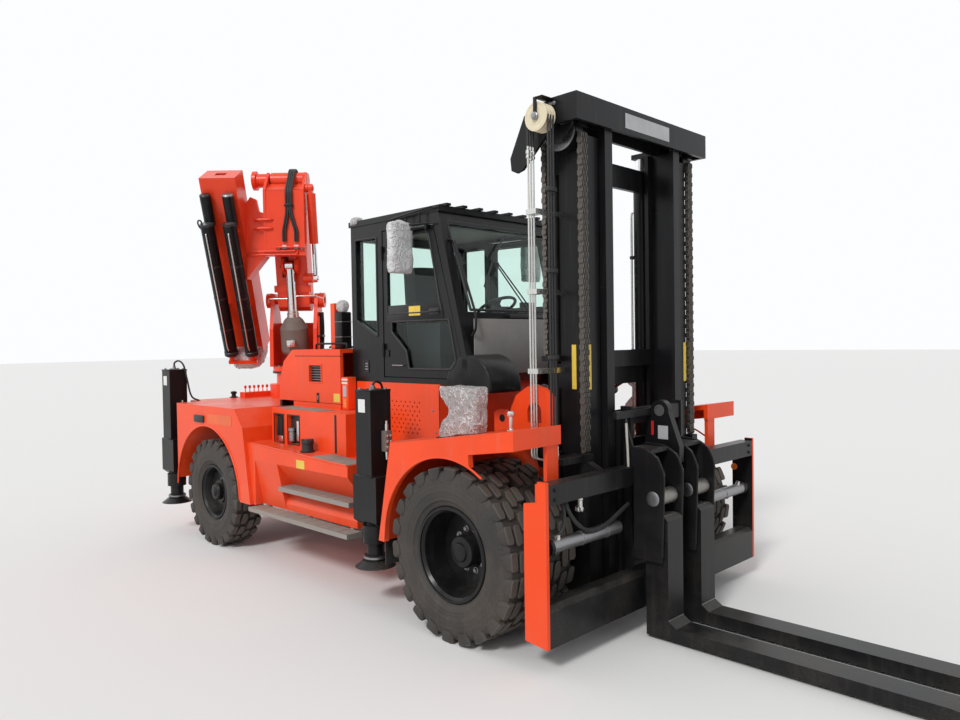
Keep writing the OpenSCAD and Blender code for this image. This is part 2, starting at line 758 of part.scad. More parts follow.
module cab_glass() color(pane_c) cab_place() {
    inner = cab_half - cab_wall;
    // Windscreen along the slanted pillars
    lean = (cab_front - roof_front) / (roof_z - 70 - cab_z - 215);
    slab([[cab_front - (2360 - cab_z - 215) * lean - 30, 2360],
          [cab_front - (2360 - cab_z - 215) * lean - 30 + pane_t, 2360],
          [roof_front + 100 * lean - 30 + pane_t, roof_z - 170], [roof_front + 100 * lean - 30, roof_z - 170]],
         -inner + 40, inner - 40);
    box(cab_rear + 20, cab_rear + 20 + pane_t, -inner + 60, inner - 60, 2330, roof_z - 200);
    for (s = [0, 1]) mirror([0, s, 0])
        slab(quarter_pane, cab_half - 30, cab_half - 30 + pane_t);
}

// Door of the left side, drawn at the cab's middle
module door() difference() {
    slab([[-1560 + door_gap, cab_z + 45 + door_gap], [cab_front - 154, cab_z + 45 + door_gap],
          [cab_front - 62 - door_gap, cab_z + 154], [cab_front - 62 - door_gap, cab_z + 213],
          [roof_front - 66 - door_gap, roof_z - 165 - door_gap], [-1560 + door_gap, roof_z - 150 - door_gap]],
         cab_half - 45, cab_half - 5);
    slab(upper_pane, cab_half - 46, cab_half);
    slab(lower_pane, cab_half - 46, cab_half);
}

module door_hinges() for (z = hinge_z) difference() {
    union() {
        rod_z(hinge_x, cab_half + 10, 12, z, z + 60);
        box(hinge_x, hinge_x + 70, cab_half - 6, cab_half + 4, z, z + 60);
    }
    rod_z(hinge_x, cab_half + 10, 6 + fit, z - 1, z + 61);
}

module mirror_arm() {
    rod_x(cab_half + 30, roof_z - 190, 11, -1150, -900);
    box(-930, -905, cab_half - 10, cab_half + 40, roof_z - 210, roof_z - 170);
    box(-1185, -1125, cab_half + 12, cab_half + 230, roof_z - 480, roof_z - 150);
}

module door_glass() {
    for (pane = [upper_pane, lower_pane]) slab(pane, cab_half - 30, cab_half - 30 + pane_t);
}

module door_right() color(dark) cab_place() mirror([0, 1, 0]) {
    door();
    door_hinges();
    mirror_arm();
}

module door_left() color(dark) cab_place() {
    door();
    door_hinges();
    mirror_arm();
}

module door_right_glass() color(pane_c) cab_place() mirror([0, 1, 0]) door_glass();

module door_left_glass() color(pane_c) cab_place() door_glass();

module cab_interior() color("#26282b") cab_place() {
    // Seat
    box(-1750, -1230, -260, 260, cab_z + 50, cab_z + 330);
    box(-1760, -1240, -250, 250, cab_z + 330, cab_z + 450);
    slab([[-1800, cab_z + 380], [-1640, cab_z + 380], [-1720, cab_z + 1050], [-1840, cab_z + 1050]], -240, 240);
    // Console and steering column
    box(-760, -645, -330, 330, cab_z + 50, cab_z + 420);
    slab([[-760, cab_z + 300], [-660, cab_z + 300], [-800, cab_z + 656], [-868, cab_z + 630]], -40, 40);
    translate([-835, 0, cab_z + 655]) rotate([0, -28, 0]) {
        rotate_extrude() translate([180, 0]) circle(14, $fn = 16);
        cylinder(r = 45, h = 24, center = true);
        for (a = [90, 210, 330]) rotate([0, 0, a]) box(30, 175, -14, 14, -7, 7);
    }
    // Lever box
    box(-1500, -1060, -480, -300, cab_z + 50, cab_z + 520);
}

module wrapped_lamps() color("#d9d6d2") truck() both_sides()
    slab([[-300, fender_top(-300)], [110, fender_top(110)], [130, fender_top(110) + 60], [110, 1745], [40, 1790],
          [-230, 1780], [-300, 1720], [-320, 1500]], 1110, 1290);

// Jacks

// A jack's housing of the left side: tube, bracket box and lower collar
module jack_housing(x, top, inner) {
    y1 = jack_out;
    y0 = y1 - jack_w;
    cy = (y0 + y1) / 2;
    difference() {
        union() {
            box(x - jack_w / 2, x + jack_w / 2, y0, y1, 1040, top);
            wall([[y0 - 60, 1060], [y1, 1060], [y1, 700], [y1 - 50, 660], [y0 - 60, 660]], x - 150, x + 150);
            rod_z(x, cy, 100, 520, 661);
            // Beam to the body
            box(x - 110, x + 110, inner, y0 - 59, 720, 940);
        }
        rod_z(x, cy, leg_r + 8, 580, top - 12);
        rod_z(x, cy, leg_r + fit, 500, 581);
    }
}

module jack_housings() color(dark) truck() both_sides() {
    jack_housing(jack_front_x, jack_top_front, frame_w / 2);
    jack_housing(jack_rear_x, jack_top_rear, 1120);
}

// A jack's sliding leg with its foot pad, left side
module jack_leg(x, top) truck() {
    cy = jack_out - jack_w / 2;
    rod_z(x, cy, leg_r, pad_z + 40, top - 320);
    rod_z(x, cy, 88, pad_z + 40, pad_z + 90);
    translate([x, cy, pad_z]) cylinder(r1 = pad_r, r2 = pad_r * 0.62, h = 48, $fn = 64);
}

// Mast

module post(y, w, x0, x1, z0, z1, flange) {
    // Channel open towards the middle
    box(x0, x1, y + w / 2 - 26, y + w / 2, z0, z1);
    box(x0, x0 + flange, y - w / 2, y + w / 2, z0, z1);
    box(x1 - flange, x1, y - w / 2, y + w / 2, z0, z1);
}

module outer_mast() color(dark) truck() {
    back = outer_post_x0 - 40;
    both_sides() {
        post(outer_post_y, outer_post_w, outer_post_x0, outer_post_x1, post_low, crossbeam_low - 60, 32);
        // Foot and trunnion lug
        slab([[outer_post_x0 + 1, trunnion_z - 120], [trunnion_x, trunnion_z - 62], [trunnion_x - 60, trunnion_z],
              [trunnion_x, trunnion_z + 62], [outer_post_x0 + 1, trunnion_z + 160]],
             outer_post_y - 44, outer_post_y + 44);
        rod_y(trunnion_x, trunnion_z, trunnion_r, outer_post_y - 92, outer_post_y + 92);
        // Lug of the tilt cylinder
        slab([[back + 1, tilt_front[1] - 90], [tilt_front[0], tilt_front[1] - 42], [tilt_front[0] - 42, tilt_front[1]],
              [tilt_front[0], tilt_front[1] + 42], [back + 1, tilt_front[1] + 90]], tilt_y - 26, tilt_y + 26);
        // Foot of the lift cylinder
        box(lift_x - 70, outer_post_x0 + 1, lift_y - 70, lift_y + 70, lift_foot_z - 40, lift_foot_z);
        // Anchor of the chain's rear run
        box(rear_run_x - 30, outer_post_x0 + 30, chain_y - 60, chain_y + 42, chain_rear_z - 40, chain_rear_z);
    }
    // Cross members behind the posts
    for (z = [post_low + 60, 1190, tilt_front[1] - 90, crossbeam_low - 300])
        box(back, outer_post_x0 + 1, -outer_post_y - 60, outer_post_y + 60, z, z + (z > 1500 ? 180 : 120));
}

module lift_barrels() color(dark) truck() both_sides()
    difference() {
        rod_z(lift_x, lift_y, lift_r, lift_foot_z, crossbeam_low - 150);
        rod_z(lift_x, lift_y, 50, lift_foot_z + 100, crossbeam_low - 200);
        rod_z(lift_x, lift_y, 48 + fit, crossbeam_low - 201, crossbeam_low - 149);
    }

module lift_rods() color(steel) truck() both_sides()
    rod_z(lift_x, lift_y, 48, crossbeam_low - 270 - mast_travel, crossbeam_low + 20);

// Distance from the middle to a hose in its groove of the roller
function hose_y(i) = roller_y + 22 + i * 28;

module mast_pipes() color(steel) truck() {
    post_side = -outer_post_y - outer_post_w / 2;
    for (i = [0:2]) rod_z(pipe_x, -hose_y(i), hose_r - 1, 1330, pipe_top_z);
    // Clamps on the mast's post
    for (z = [1880, 2440, 3000]) {
        box(outer_post_x0 + 10, outer_post_x0 + 40, -hose_y(2) - 16, post_side, z, z + 36);
        box(pipe_x - 14, outer_post_x0 + 40, -hose_y(2) - 16, -hose_y(0) + 16, z, z + 36);
    }
}

module tilt_barrels() color(dark) truck() both_sides()
    translate([0, tilt_y, 0]) leaning(tilt_rear, tilt_angle) difference() {
        union() {
            rod_x(0, 0, tilt_r, 80, tilt_barrel_l);
            rod_y(0, 0, 60, -40, 40);
            box(0, 82, -40, 40, -45, 45);
            rod_y(0, 0, 30, -98, 98);
        }
        rod_x(0, 0, 34, 90, tilt_barrel_l - 40);
        rod_x(0, 0, 32 + fit, tilt_barrel_l - 41, tilt_barrel_l + 1);
    }

module tilt_rods() color(steel) truck() both_sides()
    translate([0, tilt_y, 0]) leaning(tilt_rear, tilt_angle) {
        rod_x(0, 0, 32, 285, tilt_len - 60);
        box(tilt_len - 82, tilt_len - 62, -52, 52, -40, 40);
        for (s = [-1, 1]) {
            box(tilt_len - 63, tilt_len, s < 0 ? -52 : 31, s < 0 ? -31 : 52, -40, 40);
            rod_y(tilt_len, 0, 40, s < 0 ? -52 : 31, s < 0 ? -31 : 52);
            rod_y(tilt_len, 0, 30, s < 0 ? -62 : 51, s < 0 ? -51 : 62);
        }
    }

module inner_mast() color(dark) truck() {
    both_sides() {
        post(inner_post_y, inner_post_w, inner_post_x0, inner_post_x1, post_low, crossbeam_low + 1, 34);
        // Chain sheave with the chain round it
        rod_y(sheave_x, sheave_z, sheave_d / 2 - chain_t / 2 - 0.3, chain_y - 42, chain_y + 42);
        difference() {
            rod_y(sheave_x, sheave_z, sheave_d / 2 + chain_t / 2 - 3, chain_y - chain_w / 2, chain_y + chain_w / 2);
            box(sheave_x - 200, sheave_x + 200, chain_y - 60, chain_y + 60, sheave_z - 200, sheave_z);
        }
        rod_y(sheave_x, sheave_z, 30, chain_y - 90, chain_y + 88);
        for (side = [[chain_y - 100, 32], [chain_y + 70, 90]])
            slab([[sheave_x - 150, crossbeam_low + 1], [sheave_x - 60, sheave_z - side[1]],
                  [sheave_x + 60, sheave_z - side[1]], [sheave_x + 150, crossbeam_low + 1]], side[0], side[0] + 24);
        // Head over the lift rod
        box(lift_x - 60, crossbeam_rear + 31, lift_y - 60, lift_y + 60, crossbeam_low + 20, crossbeam_low + 60);
    }
    // Crossbeam
    difference() {
        box(crossbeam_rear, crossbeam_front, -crossbeam_half, crossbeam_half, crossbeam_low, mast_top);
        box(crossbeam_rear + 30, crossbeam_front - 30, -crossbeam_half + 30, crossbeam_half - 30, crossbeam_low - 1,
            mast_top - 25);
        both_sides() box(crossbeam_rear - 1, crossbeam_rear + 31, chain_y - 56, chain_y + 60, crossbeam_low - 1, 3740);
    }
    // Cheeks at the crossbeam's ends, the right one holds the hose roller
    both_sides()
        slab([[crossbeam_rear + 2, mast_top - 6], [250, 3730], [110, 3450], [120, 3360], [170, 3335], [230, 3350],
              [crossbeam_rear + 2, crossbeam_low - 40], [crossbeam_rear + 60, crossbeam_low + 2],
              [crossbeam_rear + 60, mast_top - 6]], crossbeam_half - 24, crossbeam_half);
    rod_y(roller_x, roller_z, 16, -roller_y - 106, -crossbeam_half + 1);
    // Cross members between the posts
    for (z = [post_low + 20, 1900])
        box(inner_post_x0 + 1, inner_post_x0 + 35, -inner_post_y, inner_post_y, z, z + 130);
}

// Roller with the hoses that run over it
module hose_roller() color("#e8dcb8") truck() translate([roller_x, 0, roller_z]) {
    translate([0, -roller_y - 96, 0]) rotate([-90, 0, 0]) rotate_extrude()
        polygon([[18, 0], [100, 0], [100, 6], [84, 10], [84, 26], [100, 32], [84, 38], [84, 54], [100, 60],
                 [84, 66], [84, 82], [100, 88], [100, 94], [18, 94]]);
    for (i = [0:2])
        translate([0, -hose_y(i), 0]) rotate([90, 0, 0]) rotate_extrude(angle = 180)
            translate([hose_wrap_r, 0]) circle(hose_r, $fn = 24);
}

// Hoses from the carriage up to the roller, and from the pipes up to it
module mast_hoses() color(dark) truck()
    for (i = [0:2]) rod_z(hose_x, -hose_y(i), hose_r - 1, hose_low_z, roller_z);

module pipe_hoses() color(dark) truck()
    for (i = [0:2]) rod_z(pipe_x, -hose_y(i), hose_r - 1, pipe_top_z, roller_z);

// Leaf chain: serrated bar with one tooth for each link
module chain_run(x, z0, z1) {
    count = floor((z1 - z0) / chain_link);
    side = [for (i = [0:count - 1]) each [[chain_t / 2, z0 + i * chain_link + 8],
                                          [chain_t / 2, z0 + (i + 1) * chain_link - 8],
                                          [chain_t / 2 - 9, z0 + (i + 1) * chain_link]]];
    back = [for (i = [len(side) - 1:-1:0]) [-side[i][0], side[i][1]]];
    both_sides() translate([x, 0, 0]) slab(concat(side, back), chain_y - chain_w / 2, chain_y + chain_w / 2);
}

module chains_front() color(steel) truck() chain_run(chain_front_x, chain_anchor_z, sheave_z);

module chains_rear() color(steel) truck() chain_run(rear_run_x, chain_rear_z, sheave_z);

// Carriage and forks

module carriage() color(dark) truck() {
    x1 = carriage_x;
    x0 = x1 - 186;
    bar = x1 - 110;
    roll_x = (inner_post_x0 + inner_post_x1) / 2;
    // Bars
    box(bar, x1, -carriage_half + 27, carriage_half - 27, carriage_top - 130, carriage_top);
    slab([[bar - 20, carriage_low], [x1, carriage_low], [x1, carriage_low + 230], [x1 - 40, carriage_low + 260],
          [bar - 20, carriage_low + 260]], -carriage_half + 27, carriage_half - 27);
    // Side plates, narrower at the top
    both_sides()
        slab([[x0, carriage_low + 20], [x1, carriage_low], [x1, carriage_top + 20], [x1 - 70, carriage_top + 20],
              [x1 - 70, carriage_top - 110], [x0, carriage_top - 130]], carriage_half - 28, carriage_half);
    // Upright plates with their rollers in the inner mast
    both_sides() {
        box(x0 + 18, bar + 30, inner_post_y - 130, inner_post_y - 98, carriage_low + 20, carriage_top + 420);
        for (z = [carriage_low + 200, carriage_top + 300])
            rod_y(roll_x, z, 92, inner_post_y - 60, inner_post_y + 8);
        slab([[roll_x - 50, carriage_low + 120], [x0 + 40, carriage_low + 60], [x0 + 40, carriage_top + 400],
              [roll_x - 50, carriage_top + 360]], inner_post_y - 130, inner_post_y - 59);
        // Chain anchor on its arm
        box(chain_front_x - 40, chain_front_x + 40, chain_y - 40, chain_y + 40, chain_anchor_z - 60, chain_anchor_z - 4);
        slab([[chain_front_x - 30, chain_anchor_z - 160], [bar + 30, carriage_top - 1], [bar + 30, carriage_top + 2],
              [chain_front_x + 40, chain_anchor_z - 59], [chain_front_x - 30, chain_anchor_z - 59]],
             chain_y - 30, chain_y + 30);
    }
    // Upper beam between the uprights
    box(x0 + 18, bar + 20, -inner_post_y + 99, inner_post_y - 99, carriage_top + 290, carriage_top + 400);
    // Lug with its eye between the forks, and the bar that stays it
    difference() {
        union() {
            slab([[bar, carriage_top - 110], [x1 - 2, carriage_top - 110], [x1 + 177, carriage_top + 10],
                  [x1 + 177, carriage_top + 124], [eye_x + 76, eye_z - 10], [eye_x - 76, eye_z - 10],
                  [bar, carriage_top + 290]], -130, -70);
            rod_y(eye_x, eye_z, 76, -130, -70);
        }
        rod_y(eye_x, eye_z, 30, -131, -69);
    }
    box(x0 + 96, x0 + 130, -574, -129, eye_z - 36, eye_z + 14);
    // Hose block beside the right post
    box(hose_x - 28, chain_front_x + 10, -hose_y(2) - 20, -chain_y + 20, hose_low_z - 42, hose_low_z);
}

module positioners() color(steel) truck() both_sides() {
    z = 790;
    rod_y(carriage_x - 70, z, 46, 560, carriage_half - 110);
    rod_y(carriage_x - 70, z, 24, carriage_half - 111, carriage_half - 28);
}

// A fork with its hanging housing, drawn about its own middle
module fork() {
    h = fork_w / 2;
    rear = carriage_x + 5;
    hook = carriage_x - 70;
    shank_back = shank_x - 178;
    // Blade and shank
    slab([[shank_back, blade_z], [tip_x - 600, blade_z], [tip_x, blade_z + 6], [tip_x, blade_z + 22],
          [tip_x - 700, blade_z + blade_t], [shank_x + 60, blade_z + blade_t], [shank_x, blade_z + blade_t + 40],
          [shank_x, 850], [shank_x - 30, 878], [shank_back, 878]], -h, h);
    // Housing: two ribs, cover and hooks over the carriage bars, and the shaft between the ribs
    for (s = [-1, 1]) translate([0, s * (h + 24), 0]) {
        slab([[rear, 560], [shank_x - 30, 560], [shank_x - 10, 1180], [shank_x - 60, 1290], [shank_x - 150, 1340],
              [hook, 1350], [hook, carriage_top + slide_fit], [rear, carriage_top + slide_fit]], -13, 13);
        box(shank_back + 8, shank_x - 50, s > 0 ? -25 : 12, s > 0 ? -12 : 25, 600, 830);
    }
    box(hook, shank_x - 120, -h - 12, h + 12, 1310, 1336);
    box(rear, rear + 30, -h - 12, h + 12, 900, 1320);
    rod_y(shank_x - 93, 1000, 55, -h - 12, h + 12);
}

module fork_right() color(dark) truck() translate([0, fork_right_y, 0]) fork();

module fork_left() color(dark) truck() translate([0, fork_left_y, 0]) fork();

// Crane

module crane_base() color(paint) {
    crane() {
        rod_z(0, 0, 330, rear_deck_z, 1640);
        rod_z(0, 0, 250, 1639, slew_z);
        rod_z(0, 0, 120, slew_z - 1, slew_z + 62);
    }
    // Lever bank beside it
    truck() {
        box(lever_x - 60, lever_x + 60, lever_y - 40, lever_y + 446, rear_deck_z, 1545);
        for (i = [0:7]) {
            rod_z(lever_x, lever_y + i * 58, 6, 1544, 1590);
            rod_z(lever_x, lever_y + i * 58, 13, 1589, 1622);
        }
    }
}

module crane_column() color(paint) crane() {
    difference() {
        union() {
            rod_z(0, 0, 290, slew_z + slew_gap, 1850);
            // Side plates up to the foot pin's bosses
            for (s = [-1, 1]) translate([0, s * (clevis_w + 22), 0]) {
                slab([[-200, 1849], [200, 1849], [190, 2300], [110, foot_z - 40], [80, foot_z + 80],
                      [-80, foot_z + 80], [-120, foot_z - 40], [-200, 2400]], -22, 22);
                rod_y(0, foot_z, 90, s < 0 ? -88 : 21, s < 0 ? -21 : 88);
            }
            box(-200, -160, -clevis_w - 1, clevis_w + 1, 1849, 2380);
            // Lugs of the lift cylinder
            for (s = [-1, 1]) translate([0, s * 66, 0])
                slab([[lift_low[0] - 60, 1849], [lift_low[0] + 60, 1849], [lift_low[0] + 60, lift_low[1] + 50],
                      [lift_low[0] - 60, lift_low[1] + 50]], -16, 16);
        }
        rod_z(0, 0, 120 + fit, slew_z, slew_z + 64);
        rod_y(0, foot_z, boom_pin_r + fit, -400, 400);
        rod_y(lift_low[0], lift_low[1], 30 + fit, -100, 100);
    }
}

// Bottle-shaped lift cylinder in the column
module boom_lift_barrel() color("#6d5f58") crane() leaning(lift_low, lift_angle)
    difference() {
        union() {
            rotate([0, 90, 0]) translate([0, 0, 92]) rotate_extrude()
                polygon([[0, 0], [150, 0], [165, 30], [165, 300], [110, 400], [66, 440], [66, 480], [0, 480]]);
            rod_y(0, 0, 62, -44, 44);
            box(0, 96, -44, 44, -50, 50);
            rod_y(0, 0, 30, -82, 82);
        }
        rod_x(0, 0, 60, 110, 541);
        rod_x(0, 0, 57 + fit, 540, 573);
    }

module boom_lift_rod() color(steel) crane() leaning(lift_low, lift_angle) {
    rod_x(0, 0, 57, 470, lift_len - 40);
    rod_y(lift_len, 0, 62, -44, 44);
}

module inner_boom() color(paint) crane() {
    difference() {
        union() {
            leaning([0, foot_z], inner_angle) {
                slab([[-60, -boom_d], [inner_len - 140, -boom_d], [inner_len - 60, -70], [inner_len - 60, 70],
                      [inner_len - 140, boom_d], [-60, boom_d]], -inner_half, inner_half);
                rod_y(inner_len, 0, 92, -inner_half, inner_half);
                rod_y(0, 0, 130, -inner_half, inner_half);
                // Collar over the foot
                box(120, 200, -inner_half - 30, inner_half + 30, -boom_d - 14, -boom_d + 20);
            }
            // Lugs of the lift cylinder, under the boom
            for (s = [-1, 1]) translate([0, s * 78, 0])
                slab([[100, 2900], [150, 3200], [lift_high[0] + 20, lift_high[1] + 70], [lift_high[0] + 60, lift_high[1]],
                      [lift_high[0] + 20, lift_high[1] - 60]], -16, 16);
            // Boss and pin of the side cylinder
            leaning([0, foot_z], inner_angle)
                translate([0, 0, -boom_d]) box(230, 340, inner_half - 40, side_w - 36, -10, 60);
            rod_y(side_low[0], side_low[1], 50, inner_half - 40, side_w - 34);
            rod_y(0, foot_z, boom_pin_r, -clevis_w - 70, clevis_w + 70);
        }
        rod_y(knuckle_u, knuckle_z, boom_pin_r + fit, -knuckle_end, knuckle_end);
    }
}

// Side cylinder that unfolds the outer boom: barrel on the outer boom, rod on the inner boom
module knuckle_barrel() color(paint) crane() translate([0, side_w, 0]) leaning(side_low, side_angle)
    difference() {
        union() {
            rod_x(0, 0, 52, side_len - side_barrel_l, side_len - 58);
            rod_y(side_len, 0, 50, -22, 22);
            box(side_len - 60, side_len, -22, 22, -42, 42);
        }
        rod_y(side_len, 0, 26 + fit, -23, 23);
        rod_x(0, 0, 30, side_len - side_barrel_l + 40, side_len - 100);
        rod_x(0, 0, 28 + fit, side_len - side_barrel_l - 1, side_len - side_barrel_l + 41);
    }

module knuckle_rod() color(steel) crane() translate([0, side_w, 0]) leaning(side_low, side_angle) {
    rod_x(0, 0, 28, 44, side_len - 130);
    rod_y(0, 0, 50, -22, 22);
    rod_y(0, 0, 26, 21, 34);
}

// Outer boom along its own axis, from its upper end down
module outer_line() crane() translate([0, outer_w, 0]) leaning([tail_u, tail_z], -90 - outer_lean) children();

module outer_boom() color(paint) {
    w = outer_box_w / 2;
    d = outer_box_d / 2;
    outer_line() difference() {
        box(0, outer_l, -w, w, -d, d);
        box(outer_wall, outer_l + 1, -w + outer_wall, w - outer_wall, -d + outer_wall, d - outer_wall);
        box(-1, outer_wall + 1, -60, 60, -45, 45);
    }
    // Brackets of the extension cylinders
    outer_line() difference() {
        for (x = [580, 1500])
            for (y = [-140, 110]) box(x, x + 40, y - 40, y + 40, d - 1, barrel_lift - 50);
        for (y = [-140, 110]) rod_x(y, barrel_lift, barrel_r, 500, 1600);
    }
    crane() {
        inner_w = outer_w + w - 1;
        // Knuckle pin with its end flanges
        rod_y(knuckle_u, knuckle_z, boom_pin_r, knuckle_far, knuckle_end);
        rod_y(knuckle_u, knuckle_z, 82, knuckle_far + 40, -cheek_w - 29);
        rod_y(knuckle_u, knuckle_z, 112, knuckle_far, knuckle_far + 42);
        rod_y(knuckle_u, knuckle_z, 82, knuckle_end - 2, knuckle_end + 1);
        // Head: side cheeks and front box below the pin
        for (s = [-1, 1]) translate([0, s * (cheek_w + 15), 0])
            slab([[knuckle_u - 70, knuckle_z + 60], [knuckle_u + 70, knuckle_z + 80], [530, 3900], [520, 3140],
                  [405, 3140], [405, 3600], [knuckle_u - 90, knuckle_z - 60]], -15, 15);
        box(405, 520, -cheek_w, cheek_w, 3140, 3900);
        slab([[405, 3899], [525, 3899], [knuckle_u + 90, 4000], [knuckle_u + 110, 3930]], -cheek_w, cheek_w);
        // Shelf and web to the outer boom
        wall([[inner_w, 3570], [-cheek_w - 29, 3570], [-cheek_w - 29, 3140], [inner_w, 2880]], 300, 490);
        wall([[inner_w, 3540], [-cheek_w - 29, 3540], [-cheek_w - 29, 3640], [-300, 3660], [-330, 3800],
              [-400, 3830], [inner_w, 3760]], 420, 470);
        // Pin of the side cylinder
        rod_y(side_high[0], side_high[1], 50, cheek_w + 29, side_w - 26);
        rod_y(side_high[0], side_high[1], 26, cheek_w + 29, side_w + 34);
    }
}

module boom_cylinders() color(dark) outer_line()
    for (y = [-140, 110]) {
        translate([0, y, outer_box_d / 2 + 66]) rod_x(0, 0, 60, 180, 520);
        difference() {
            translate([0, y, barrel_lift]) rod_x(0, 0, barrel_r, 470, outer_l - 60);
            translate([0, y, barrel_lift]) rod_x(0, 0, 42, 600, outer_l - 110);
            translate([0, y, barrel_lift]) rod_x(0, 0, 36 + fit, outer_l - 111, outer_l - 59);
        }
    }

module boom_extension() color(paint) outer_line() {
    w = outer_box_w / 2 - outer_wall - 6;
    d = outer_box_d / 2 - outer_wall - 6;
    box(700, outer_l + 90, -w, w, -d, d);
    // End plate with the extension cylinders' rods
    box(outer_l + 10, outer_l + 50, -w - 10, w - 10, d - 1, barrel_lift + 40);
    for (y = [-140, 110]) translate([0, y, barrel_lift]) rod_x(0, 0, 36, 1000, outer_l + 11);
    // Hook eye
    difference() {
        box(outer_l + 89, outer_l + 170, -30, 30, -60, 60);
        rod_y(outer_l + 125, 0, 22, -31, 31);
    }
}

chassis_frame();
counterweight();
axles();
fenders();
side_tanks();
treads();
cab_base();
engine_block();
hood();
hood_lamp();
cab_shell();
cab_glass();
cab_interior();
door_right();
door_right_glass();
door_left();
door_left_glass();
wrapped_lamps();
jack_housings();
color(dark) mirror([0, 1, 0]) jack_leg(jack_front_x, jack_top_front);  // jack_leg_fr
color(dark) jack_leg(jack_front_x, jack_top_front);  // jack_leg_fl
color(dark) mirror([0, 1, 0]) jack_leg(jack_rear_x, jack_top_rear);  // jack_leg_rr
color(dark) jack_leg(jack_rear_x, jack_top_rear);  // jack_leg_rl
color(rubber) mirror([0, 1, 0]) front_tyres();  // tyres_fr
color(dark) mirror([0, 1, 0]) front_rims();  // rims_fr
color(rubber) front_tyres();  // tyres_fl
color(dark) front_rims();  // rims_fl
color(rubber) mirror([0, 1, 0]) rear_tyre();  // tyre_rr
color(dark) mirror([0, 1, 0]) rear_rim();  // rim_rr
color(rubber) rear_tyre();  // tyre_rl
color(dark) rear_rim();  // rim_rl
color(dark) mirror([0, 1, 0]) knuckle();  // knuckle_r
color(dark) knuckle();  // knuckle_l
outer_mast();
lift_barrels();
mast_pipes();
tilt_barrels();
tilt_rods();
inner_mast();
lift_rods();
hose_roller();
mast_hoses();
pipe_hoses();
chains_front();
chains_rear();
carriage();
positioners();
fork_right();
fork_left();
crane_base();
crane_column();
boom_lift_barrel();
boom_lift_rod();
inner_boom();
knuckle_barrel();
knuckle_rod();
outer_boom();
boom_cylinders();
boom_extension();
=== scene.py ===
"""Looks of a heavy forklift truck with a folding crane: materials, small fittings, light and camera.

All lengths are metres, but for the profiles of turned pieces, which are millimetres. The solids come
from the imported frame; what is added here is trim, rigging, soft wraps and the finish of every surface.
"""
import math

import bpy
from mathutils import Matrix, Vector, noise


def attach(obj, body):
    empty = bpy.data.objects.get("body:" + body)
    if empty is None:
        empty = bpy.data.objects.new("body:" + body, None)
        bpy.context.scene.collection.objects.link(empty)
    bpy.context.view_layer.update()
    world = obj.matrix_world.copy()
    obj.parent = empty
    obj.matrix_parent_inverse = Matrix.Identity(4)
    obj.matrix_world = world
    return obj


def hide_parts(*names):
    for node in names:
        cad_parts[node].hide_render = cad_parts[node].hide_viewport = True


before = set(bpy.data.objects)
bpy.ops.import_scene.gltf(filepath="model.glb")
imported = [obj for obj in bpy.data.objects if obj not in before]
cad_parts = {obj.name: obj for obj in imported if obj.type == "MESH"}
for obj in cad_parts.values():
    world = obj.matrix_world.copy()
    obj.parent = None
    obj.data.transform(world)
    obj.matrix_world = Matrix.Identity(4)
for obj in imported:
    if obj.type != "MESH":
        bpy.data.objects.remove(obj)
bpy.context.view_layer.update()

# Places are measured from the front axle; SHIFT moves them into the truck's own frame
SHIFT = 0.8210482
CRANE_X = -4.280
SLEW = math.radians(-45)
SIDES = (("r", -1), ("l", 1))
X, Z = (1, 0, 0), (0, 0, 1)
FRONT_RADIUS, FRONT_RIM = 0.618, 0.335
REAR_X, REAR_RADIUS, REAR_RIM = -3.81, 0.559, 0.285


# Camera

RIGHT = Vector((0.7066634, 0.7073878, -0.0151446))
UP = Vector((-0.0061299, 0.0275243, 0.9996023))
AHEAD = Vector((-0.7075233, 0.7062896, -0.0237866))
camera_data = bpy.data.cameras.new("camera")
camera = bpy.data.objects.new("camera", camera_data)
bpy.context.scene.collection.objects.link(camera)
camera_data.sensor_width = 36.0
camera_data.lens = 763.8 / 960 * 36.0
camera_data.clip_end = 300.0
turn = Matrix((RIGHT, UP, -AHEAD)).transposed().to_4x4()
camera.matrix_world = Matrix.Translation(Vector((3.930 + SHIFT, -5.034, 2.111))) @ turn
bpy.context.scene.camera = camera


# Node helpers

def is_socket(value):
    return isinstance(value, bpy.types.NodeSocket)


def fill(tree, made, values):
    """Sets or links a node's inputs."""
    for name, value in values.items():
        if is_socket(value):
            tree.links.new(value, made.inputs[name])
        else:
            made.inputs[name].default_value = value
    return made


def node(tree, kind, values=None, **settings):
    """Adds a node, sets its options, and fills its inputs."""
    made = tree.nodes.new(kind)
    for name, value in settings.items():
        setattr(made, name, value)
    return fill(tree, made, values or {})


def maths(tree, operation, *values):
    return node(tree, "ShaderNodeMath", dict(enumerate(values)), operation=operation).outputs[0]


def times(tree, a, b):
    return maths(tree, "MULTIPLY", a, b)


def plus(tree, a, b):
    return maths(tree, "ADD", a, b)


def times_plus(tree, a, b, c):
    return maths(tree, "MULTIPLY_ADD", a, b, c)


def mixed(tree, factor, a, b):
    """Two colours mixed by a mask."""
    a, b = (v if is_socket(v) else (*v[:3], 1.0) for v in (a, b))
    return node(tree, "ShaderNodeMix", {0: factor, 6: a, 7: b}, data_type="RGBA").outputs[2]


def shades(tree, factor, colour, dark, light=1.0):
    """A colour that varies between two depths of itself."""
    return mixed(tree, factor, [c * dark for c in colour], [c * light for c in colour])


def steps(tree, value, low, high, out_low=0.0, out_high=1.0):
    """A clamped, smooth ramp from low to high."""
    return node(tree, "ShaderNodeMapRange", {
        "Value": value, "From Min": low, "From Max": high, "To Min": out_low, "To Max": out_high},
        interpolation_type="SMOOTHSTEP").outputs[0]


def place_on(tree):
    return node(tree, "ShaderNodeTexCoord").outputs["Object"]


